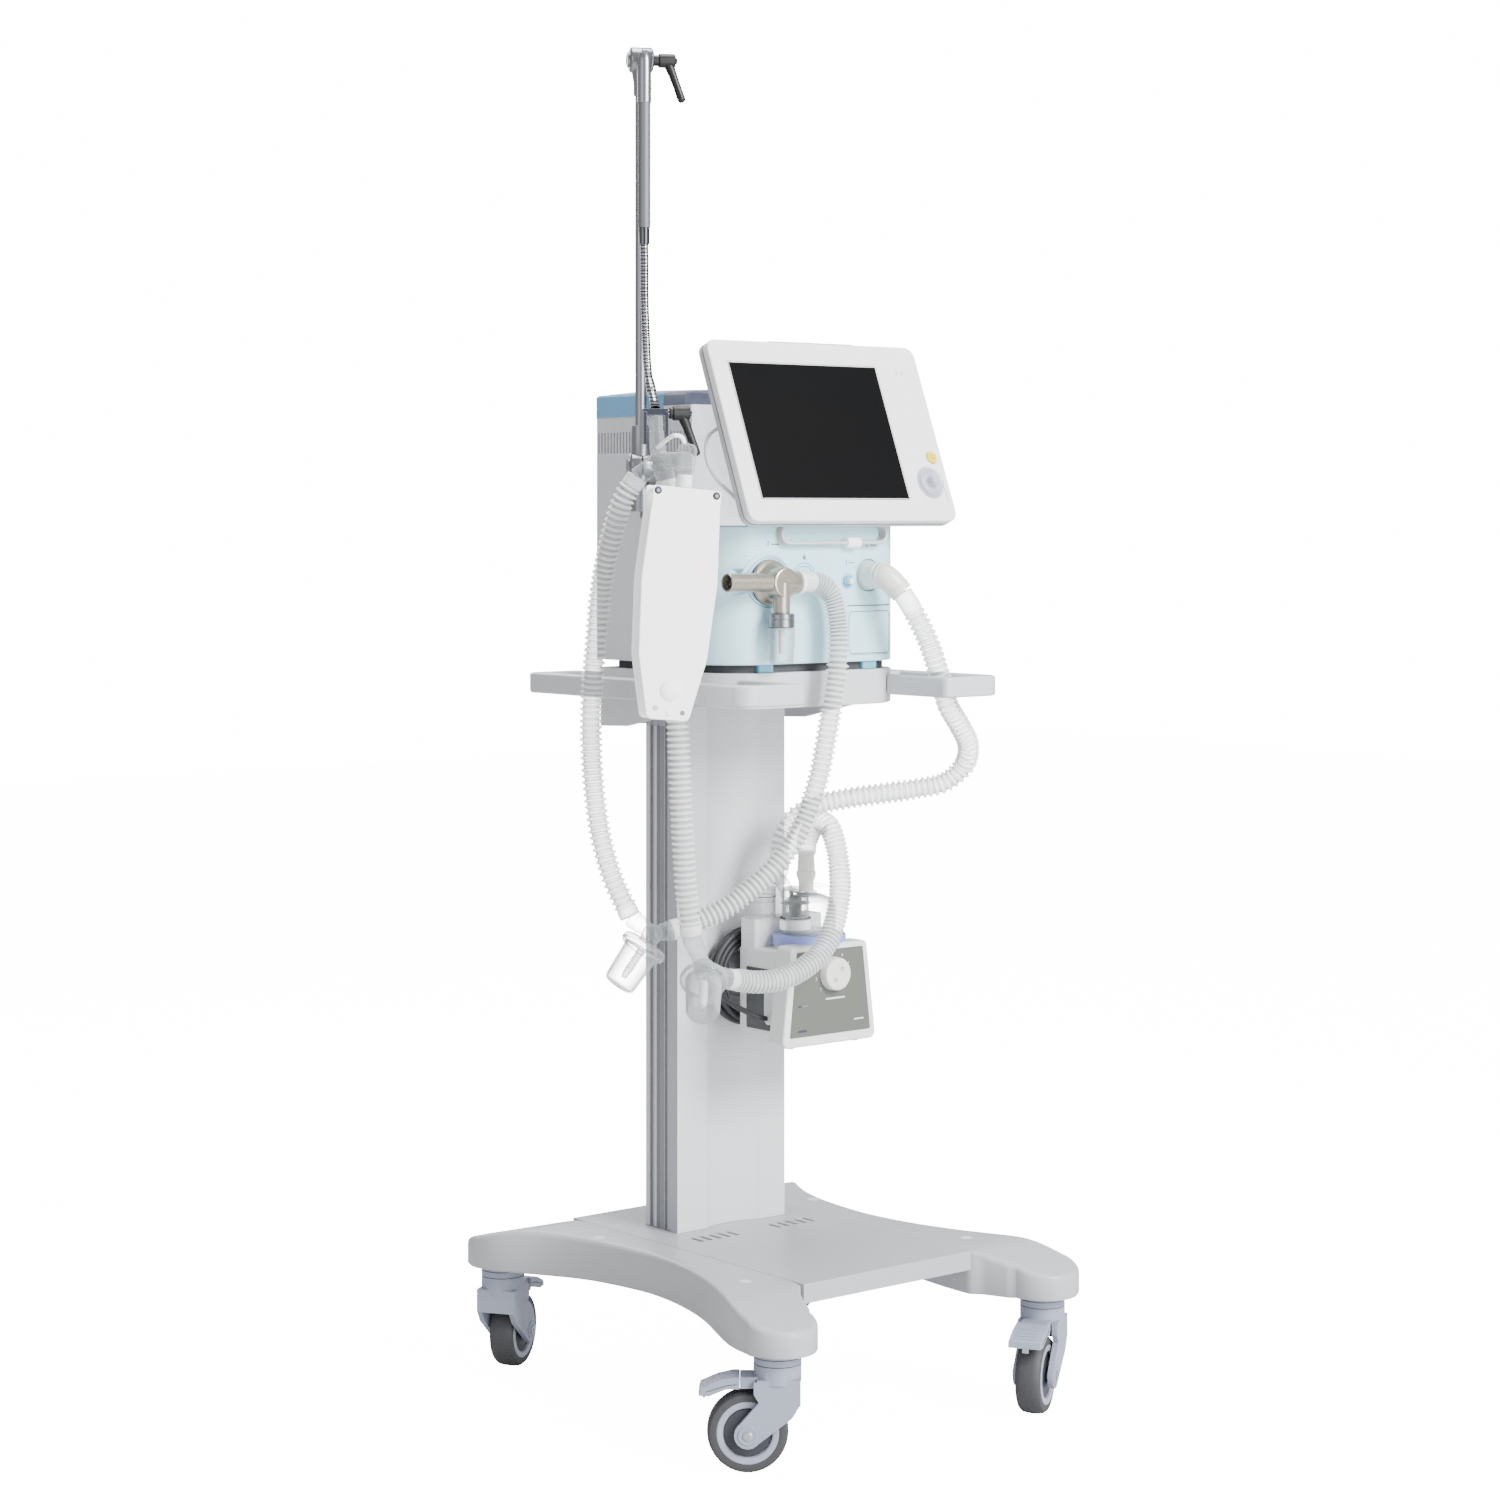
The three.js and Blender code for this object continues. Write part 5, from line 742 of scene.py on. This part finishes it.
s_ = np.linspace(0, GL, len(gp)); rr_ = 4.75 + 0.5 * np.sqrt(np.clip(0.5 + 0.5 * np.cos(2 * math.pi * s_ / 3.3), 0, 1))
tail_ = s_ > GL - 52; rr_[tail_] = np.interp(s_[tail_], [GL - 52, GL - 48, GL - 30, GL - 28, GL - 14, GL], [5.2, 6.0, 6.0, 4.8, 5.2, 6.4])
put(sweep("gooseneck_ribbed", gp, rr_, MT['goose'], 20, True, 75), "arm_upper", "chrome", "arm_gooseneck")
soft('hose_clamp', 'mirror', 1.0, 2)
def lever(nm, c, z, a0, body, node, sh=0):
    neck = solid_lathe(nm + "n", [(6.6, 0), (7, 0.6), (7, 4.6 + sh), (6.4, 5 + sh)], at(a0, 0, z, c), AX, MT['black'], 24); a0 += sh
    o = [neck,
         solid_lathe(nm + "h", [(8.2, 4), (9, 4.8), (9, 23.6), (8, 25), (5.2, 25.4)], at(a0, 0, z, c), AX, MT['black'], 40),
         solid_lathe(nm + "s", [(4.2, 24.6), (4.2, 27), (3.4, 27.8)], at(a0, 0, z, c), AX, MT['chrome'], 24),
         sweep(nm + "a", [at(a0 + 15.5, 0, z + 2, c), at(a0 + 17.5, 0, z - 6, c), at(a0 + 22, 0, z - 17, c), at(a0 + 28, 0, z - 33, c), at(a0 + 33, 0, z - 47, c), at(a0 + 34.3, 0, z - 50.5, c), at(a0 + 34.9, 0, z - 52, c)], [7.6, 6.6, 5.4, 5.0, 5.2, 4.6, 2.6], MT['black'], 28)]
    put(join(nm, o), body, "black", node)
lever("elbow_lever_skin", POLE, 1697, 15.4, "elbow_lever", "elbow_clamp_lever", 3.2)
lever("clamp_lever_skin", CL, 1248.5, 17.4, "clamp_lever", "hose_clamp_lever")

# ------------------------------------------------------------------ test lung and patient connector
roll = math.radians(5.3); LW_ = (0.9505, -0.3108, 0); LN_ = (-0.3108, -0.9505, 0)
LU_ = (LW_[0] * math.sin(roll), LW_[1] * math.sin(roll), math.cos(roll)); LA_ = (LW_[0] * math.cos(roll), LW_[1] * math.cos(roll), -math.sin(roll))
LO_ = (-255.7, -131, 1015)
def LP(a, b, n): return tuple(LO_[i] + LA_[i] * a + LU_[i] * b + LN_[i] * n for i in range(3))
def lungout(k=0):
    return fillet([(-44 + k, 142 - k, 4), (44 - k, 142 - k, 4), (44 - k, 122, 10), (49 - k, 30, 90), (44 - k, -62, 60), (27 - k * .6, -138 + k, 8), (-27 + k * .6, -138 + k, 8), (-44 + k, -62, 60), (-49 + k, 30, 90), (-44 + k, 122, 10)], 10)
lun = [gprism("lung_front", lungout(), LP, 10.2, 14, MT['plate'], 1.6, 4), gprism("lung_rear", lungout(), LP, -14, -10.4, MT['plate'], 1.2, 3)]
bv = []; bf = []; NB = 40; NA = 28
for i in range(NB + 1):
    b = -122 + 250 * i / NB
    w = float(np.interp(b, [-122, -118, -110, -60, 30, 110, 122, 128], [14, 22, 27, 39, 43.5, 41, 38, 20]))
    tn = 10.0 * min(1, (1 - abs((b - 3) / 126) ** 8) + 0.08)
    for k in range(NA):
        t = 2 * math.pi * k / NA; c, s = math.cos(t), math.sin(t)
        bv.append(W(LP(w * math.copysign(abs(c) ** 0.45, c), b, tn * math.copysign(abs(s) ** 0.7, s))))
for i in range(NB):
    for k in range(NA): l = (k + 1) % NA; bf.append((i * NA + k, i * NA + l, (i + 1) * NA + l, (i + 1) * NA + k))
bf += [tuple(range(NA)), tuple(NB * NA + k for k in range(NA))]
lun.append(obj_from("lung_bag", bv, bf, MT['bag'], True, 60))
for a, b in ((-37.5, 136), (37.5, 136)):
    # dark disc round each front screw: painted shade standing for the screw recess
    lun.append(solid_lathe("ls%d" % a, [(4.9, 0.2), (4.9, 0.55), (4.2, 0.75)], LP(a, b, 13.6), LN_, MT['tie'], 24))
    lun.append(solid_lathe("lt%d" % a, [(2.9, 0.2), (2.9, 1.4), (2.2, 1.8)], LP(a, b, 13.6), LN_, MT['mirror'], 20))
    lun.append(solid_lathe("lr%d" % a, [(3.4, 0.2), (3.4, 1.2), (2.0, 1.8)], LP(a, b, -13.6), tuple(-v for v in LN_), MT['steel'], 20))
    lun.append(solid_lathe("lsp%d" % a, [(3.0, 0), (3.0, 21)], LP(a, b, -10.5), LN_, MT['plate'], 16))
lun.append(solid_lathe("lbump", [(13.5, 0), (13.0, 1.8), (11, 3.6), (7, 4.9), (2, 5.4)], LP(0, -102, 13.7), LN_, MT['plate'], 40))
lun.append(solid_lathe("lb2", [(4.2, 0), (4.0, 1.6), (2, 2.2)], LP(1, -129, 13.7), LN_, MT['plate'], 24))
lun.append(solid_lathe("lb3", [(3.6, 0), (3.4, 0.8), (2.2, 1.0)], LP(-17, -124, 13.7), LN_, MT['dgrey'], 24))
lun.append(solid_lathe("lb4", [(3.2, 0), (3.0, 0.8), (2.0, 1.0)], LP(18, -128, 13.7), LN_, MT['mark'], 24))
put(join("test_lung_assembly", lun), "arm_upper", "plate", "test_lung")
YJ, YD, YE = (-241, -86, 1190), (-234.7, -88.9, 1167), (-259, -63.5, 1170.5)
def tubel(nm, a, b, ra, rb, mat, ribs=None, n=40):
    A, B = Vector(a), Vector(b); L0 = (B - A).length
    pr = [(ra, 0)] + (ribs or []) + [(rb, L0)]
    return solid_lathe(nm, pr, a, tuple(B - A), mat, n)
yp = [solid_lathe("yj", [(2, -14), (8, -11.6), (12, -7), (13.8, -1), (13.6, 3), (11, 9), (6, 12.8)], YJ, (0, 0, 1), MT['clear'], 40),
      tubel("ya", (CL[0], CL[1], 1244), (-240.5, -81, 1190), 8.4, 9.6, MT['clear'], [(9.4, 1.5), (9.4, 12), (8.6, 13), (8.6, 18), (9.6, 19)]),
      tubel("yb", YJ, YE, 11, 11.4, MT['clear'], [(11, 12), (12.4, 13), (12.4, 15), (11.2, 16)]),
      tubel("yc", YJ, YD, 11, 11.4, MT['clear'], [(11, 8), (12.2, 9), (12.2, 11)]),
      tubel("yd", YJ, LP(0, 176, 0), 10.5, 10.5, MT['clear']),
      solid_lathe("ye", [(11.0, 142.9), (11.0, 158), (9.6, 159), (9.6, 163), (12.2, 164), (12.2, 166), (10.6, 167), (10.6, 171), (12.4, 172), (12.4, 174), (11.8, 175), (12, 186), (11.2, 191), (8.4, 194.6), (4, 196)], LP(0, 0, 0), LU_, MT['clear'], 44),
      solid_lathe("yf", [(9.8, 143), (9.8, 158)], LP(0, 0, 0.2), LU_, MT['plate'], 32),
      sweep("yg", smooth_path([LP(-4, 196, 0), LP(-9, 203, 1), LP(-18, 204, 3), (-244, -84, 1206)], 1.0)[0], 2.6, MT['plate'], 14)]
put(join("patient_y_connector", yp), "arm_upper", "clear", "patient_y_piece")

# ------------------------------------------------------------------ water traps
def trapv(nm, cap, dr, arms, node):
    d = Vector(dr).normalized(); st = tuple(Vector(cap) - d * 20)
    o = [lathe(nm + "cap", [(0, -9), (12, -9), (14, -8), (25, -7.4), (28, -6), (29.2, -3.4), (29.2, 2.2), (28, 4.6), (25, 6), (23.4, 6.4), (23.2, 2), (0, 0)], cap, tuple(d), MT['clear'], 56),
         lathe(nm + "rib", [(27.4, -1.2), (29.8, -0.9), (29.8, 0.9), (27.4, 1.2), (27.4, -1.2)], cap, tuple(d), MT['clear'], 56),
         lathe(nm + "cup", [(22.8, 4), (22.6, 12), (20.6, 51), (19.0, 54.6), (15.6, 56), (0, 56), (0, 54.6), (15.2, 54.6), (17.8, 53), (19.4, 50), (21.2, 12), (21.3, 4), (22.8, 4)], cap, tuple(d), MT['clear'], 56),
         solid_lathe(nm + "ball", [(2, -13), (8, -10.4), (11.6, -6), (13, 0), (11.6, 6), (10, 9.6), (11.6, 13)], st, tuple(d), MT['clear'], 40)]
    L1 = [(5.0, 4), (5.4, 6)] + [(5.4 - 1.0 * (k % 2), 8 + k * 2.0) for k in range(14)] + [(4.6, 38), (3.0, 44)]
    o.append(solid_lathe(nm + "dip", L1, cap, tuple(d), MT['hose'], 24))
    for i, e in enumerate(arms):
        A, B = Vector(st), Vector(e); L0 = (B - A).length
        o.append(solid_lathe(nm + "arm%d" % i, [(9.6, 0), (9.8, L0 * .45), (11, L0 * .5), (11, L0 * .78), (12.2, L0 * .8), (12.2, L0 * .9), (11, L0 * .92), (11, L0)], st, tuple(B - A), MT['clear'], 36))
    put(join(nm, o), "arm_base", "clear", node)
trapv("water_trap_left", (-234, -42, 591), (-0.43, 0.35, -0.83), [(-199.4, -54.9, 611), (-245.8, -32.2, 629.4)], "water_trap_expiratory")
trapv("water_trap_centre", (-198, -117, 556), (-0.51, -0.6, -0.62), [(-152.4, -106, 552.4), (-213.6, -111, 611.4)], "water_trap_inspiratory")

# ------------------------------------------------------------------ humidifier
hb = [prism("h_front", fillet([(-33, 447, 9), (125, 447, 9), (109, 575, 7), (-18, 575, 7)], 8), -70, -40, 'y', MT['humw'], 3.0, 4),
      prism("h_body", rrect(-10, 104, 455, 566, 4), -40.5, 44.4, 'y', MT['humw'], 1.6, 3),
      prism("h_back", rrect(-10, 104, 12, 44.4, 5), 560, 603, 'z', MT['humw'], 2.4, 4),
      prism("h_brk", rrect(-5, 40, 498, 556, 2), 44, 72.7, 'y', MT['alu'], 0.8, 2),
      solid_lathe("h_ringlow", [(46, 0), (46, 9), (45.4, 9.6)], (50, -24, 560), (0, 0, 1), MT['ivory'], 64),
      solid_lathe("h_ring", [(46.6, 9.8), (47.4, 10.4), (47.6, 22.6), (47, 23.8), (45, 24.1)], (50, -24, 560), (0, 0, 1), MT['lav'], 64),
      prism("h_panel", fillet([(-21.5, 460, 2), (114, 460, 2), (101, 568, 2), (-9.5, 568, 2)], 4), -70.7, -69.6, 'y', MT['humg'], 0.2, 1),
      prism("h_label", [(-10.5, 0), (-10.5, 0)] and rrect(-36, 30, 462, 541, 2), -10.7, -9.6, 'x', MT['humd'], 0.1, 1),
      prism("h_lab2", rrect(-31, -6, 476, 526, 1), -10.95, -10.4, 'x', MT['deck'], 0.1, 1),
      solid_lathe("h_gland", [(8, 0), (8, 1.8), (6, 2.4), (5.4, 2.2), (4.6, 6)], (-10, -16, 478), (-1, 0, 0.06), MT['humw'], 36),
      solid_lathe("h_foot1", [(5, 0), (4.4, 3)], (-8, -55, 447.4), (0, 0, -1), MT['dark'], 20), solid_lathe("h_foot2", [(5, 0), (4.4, 3)], (100, -55, 447.4), (0, 0, -1), MT['dark'], 20)]
for i in range(1, 10):
    a = math.radians(225 - (i - 1) * 33.75)
    cu = bpy.data.curves.new("num%d" % i, 'FONT'); cu.body = str(i); cu.size = 0.0058; cu.align_x = 'CENTER'; cu.align_y = 'CENTER'; cu.extrude = 0.00012
    to = bpy.data.objects.new("num%d" % i, cu); sc.collection.objects.link(to)
    to.location = W((50 + 28.5 * math.cos(a), -70.8, 537 + 28.5 * math.sin(a) * 0.94)); to.rotation_euler = (math.radians(90), 0, 0)
    bpy.context.view_layer.update()
    dg_ = bpy.context.evaluated_depsgraph_get(); me = bpy.data.meshes.new_from_object(to.evaluated_get(dg_)); me.transform(to.matrix_world)
    me.materials.clear(); me.materials.append(MT['deck']); bpy.data.objects.remove(to)
    no = bpy.data.objects.new("dialnum%d" % i, me); sc.collection.objects.link(no); hb.append(no)
for x0, x1, z0, z1, mt in ((-8, -3, 498, 500.4, 'markd'), (-1, 8, 498, 500.4, 'mark'), (38, 70, 504, 506.2, 'deck'), (-8, 6, 466, 469, 'markd'), (86, 102, 474, 476, 'deck')):
    hb.append(prism("hm%d" % (x0 * 7 + z0), [(x0, z0), (x1, z0), (x1, z1), (x0, z1)], -70.95, -70.5, 'y', MT[mt], 0))
hb.append(gprism("h_seam", [(-40, 0), (-39, 0), (-39, 1), (-40, 1)], lambda p, q, l: (-10.3 + l, p, 460 + q * 100), 0, 0.4, MT['mark'], 0))
put(join("humidifier_heater", hb), "trolley", "humid", "humidifier_body")
hk = [solid_lathe("hk", [(21.3, 0), (21.6, 0.6), (21.0, 9.6), (20.0, 11.6), (17.5, 12.5), (8, 12.2)], (50, -70.7, 537), (0, -1, 0), MT['ivory'], 64)]
for q in (-7, 7): hk.append(solid_lathe("hd%d" % q, [(3.4, 12.0), (3.2, 12.6), (2.4, 12.5)], (50 + q * 0.8, -70.7, 537 + q), (0, -1, 0), MT['knob'], 24))
put(join("heat_dial_knob", hk), "heater_knob", "white", "humidifier_knob")
def cyl_open(nm, at_, r, h, t, mat, n=56):
    return lathe(nm, [(r - t, 0), (r, 0), (r, h), (r - t, h), (r - t, 0)], at_, (0, 0, 1), mat, n)
CHX, CHY = 36, -13
ch = [lathe("ch_seat", [(0, 0), (34, 0), (35.5, 1), (35.5, 3.4), (34, 4), (0, 4)], (50, -24, 584.4), (0, 0, 1), MT['clear'], 56),
      lathe("ch_wall", [(34, 3), (34.6, 8), (34.2, 34), (31.4, 42), (24, 47), (16, 50), (0, 50), (0, 48.8), (15.6, 48.8), (23.2, 45.8), (30.2, 41), (33.0, 33.6), (33.4, 8), (33, 3), (34, 3)], (50, -24, 584.4), (0, 0, 1), MT['clear'], 64),
      lathe("ch_base", [(0, 0), (18.6, 0), (20.4, 1), (20.4, 11), (19, 13), (0, 13)], (CHX, CHY, 588.6), (0, 0, 1), MT['plate'], 56),
      lathe("ch_line", [(18.2, 14.6), (20.2, 14.6), (20.2, 15.9), (18.2, 15.9), (18.2, 14.6)], (CHX, CHY, 588.6), (0, 0, 1), MT['dark'], 64),
      cyl_open("ch_tower", (CHX, CHY, 603), 17.4, 37, 1.2, MT['clear']),
      cyl_open("ch_core", (CHX, CHY, 603), 8.4, 38, 1.0, MT['clear'], 40),
      lathe("ch_flange", [(6, 0), (20, 0.4), (22.4, 1.2), (22.4, 2.4), (20, 3.2), (6, 3.6), (6, 0)], (CHX + 2, CHY - 6, 638), (0.05, -0.12, 1), MT['clear'], 56),
      lathe("ch_flange2", [(10, 0), (19, 0.2), (19.6, 1.0), (19, 1.8), (10, 2), (10, 0)], (CHX, CHY, 622), (0, 0, 1), MT['clear'], 56),
      cyl_open("ch_rear", (8, 25, 603.4), 20.5, 36, 1.2, MT['clear']),
      lathe("ch_rearcap", [(0, 0), (14, 0), (20.5, 1), (21.4, 2), (21.4, 3.4), (14, 5), (0, 5.4)], (8, 25, 639), (0, 0, 1), MT['clear'], 48),
      lathe("ch_rearline", [(20.6, 0), (21.0, 0), (21.0, 1.1), (20.6, 1.1), (20.6, 0)], (8, 25, 630), (0, 0, 1), MT['dark'], 56),
      solid_lathe("ch_out", [(9.6, 0), (9.8, 12), (11.0, 16), (12.6, 20), (12.6, 25), (11.4, 26), (10.4, 46), (11.8, 47), (11.8, 49.8)], (38, -32, 640), (0, 0, 1), MT['ivory'], 40),
      solid_lathe("ch_in", [(9, 0), (9, 10), (11, 12), (11, 17.8)], (28, 10, 646), (0, 0, 1), MT['clear'], 40),
      sweep("ch_inb", smooth_path([(28, -6, 630), (28, -5, 638), (28, 2, 646), (28, 10, 652)], 1.5)[0], 8.6, MT['clear'], 28),
      sweep("ch_spike", [(44, -33, 648), (60, -37, 646), (78, -42, 642)], [3.6, 2.6, 0.8], MT['clear'], 18)]
for i in range(13):
    a = math.radians(-178 + i * 9); L_ = 5.0 if i % 3 == 0 else 3.0
    px_, py_ = 8 + 20.75 * math.cos(a), 25 + 20.75 * math.sin(a)
    ch.append(sweep("tick%d" % i, [(px_, py_, 623), (px_, py_, 623 + L_ / 2), (px_, py_, 623 + L_)], 0.35, MT['dark'], 6))
put(join("humidifier_chamber_clear", ch), "trolley", "clear", "humidifier_chamber")
soft('mains_plug', 'black', 1.2, 3)

# ------------------------------------------------------------------ stage
def area(name, loc, size, energy, target=(0, 0, 0.9)):
    l = bpy.data.lights.new(name, 'AREA'); l.shape = 'RECTANGLE'; l.size, l.size_y = size; l.energy = energy
    o = bpy.data.objects.new(name, l); sc.collection.objects.link(o); o.location = loc
    o.rotation_euler = (Vector(target) - Vector(loc)).to_track_quat('-Z', 'Y').to_euler(); return o
area("key", (0.6, -4.0, 3.1), (1.6, 1.6), 430)
area("left", (-3.2, -0.9, 1.9), (2.2, 2.2), 20)
area("front", (0.2, -4.2, 1.2), (2.2, 2.0), 90)
area("top", (0.1, 0.2, 4.0), (1.8, 1.8), 120)
area("rim", (0.9, 3.0, 2.4), (2.2, 1.6), 60)
area("low", (-0.5, -3.2, 0.35), (2.0, 0.8), 34, (0, 0, 1.15))
w = bpy.data.worlds.new("studio"); sc.world = w; w.use_nodes = True
wn_ = w.node_tree; bg = wn_.nodes["Background"]; bg.inputs["Color"].default_value = (1, 1, 1, 1)
lp_ = wn_.nodes.new("ShaderNodeLightPath"); mr_ = wn_.nodes.new("ShaderNodeMapRange")
mr_.inputs["To Min"].default_value = 0.6; mr_.inputs["To Max"].default_value = 16
wn_.links.new(lp_.outputs["Is Camera Ray"], mr_.inputs["Value"]); wn_.links.new(mr_.outputs["Result"], bg.inputs["Strength"])
bm = bmesh.new(); bmesh.ops.create_grid(bm, x_segments=1, y_segments=1, size=9)
me = bpy.data.meshes.new("studio_floor"); bm.to_mesh(me); bm.free()
fl = bpy.data.objects.new("studio_floor", me); sc.collection.objects.link(fl); fl.location = (0, 0, 0)
fm = pmat("floor_white", (0.55, 0.55, 0.55, 1), 0.7, 0, 60, 0.01, 0.004, rvar=0.02, spec=0.1); me.materials.append(fm)
fb = fm.node_tree.nodes["Principled BSDF"]; fb.inputs["Emission Color"].default_value = (1, 1, 1, 1); 
fl_ = fm.node_tree.nodes.new("ShaderNodeLightPath"); fr_ = fm.node_tree.nodes.new("ShaderNodeMapRange"); fr_.inputs["To Min"].default_value = 0.05; fr_.inputs["To Max"].default_value = 15
fm.node_tree.links.new(fl_.outputs["Is Camera Ray"], fr_.inputs["Value"]); fm.node_tree.links.new(fr_.outputs["Result"], fb.inputs["Emission Strength"])
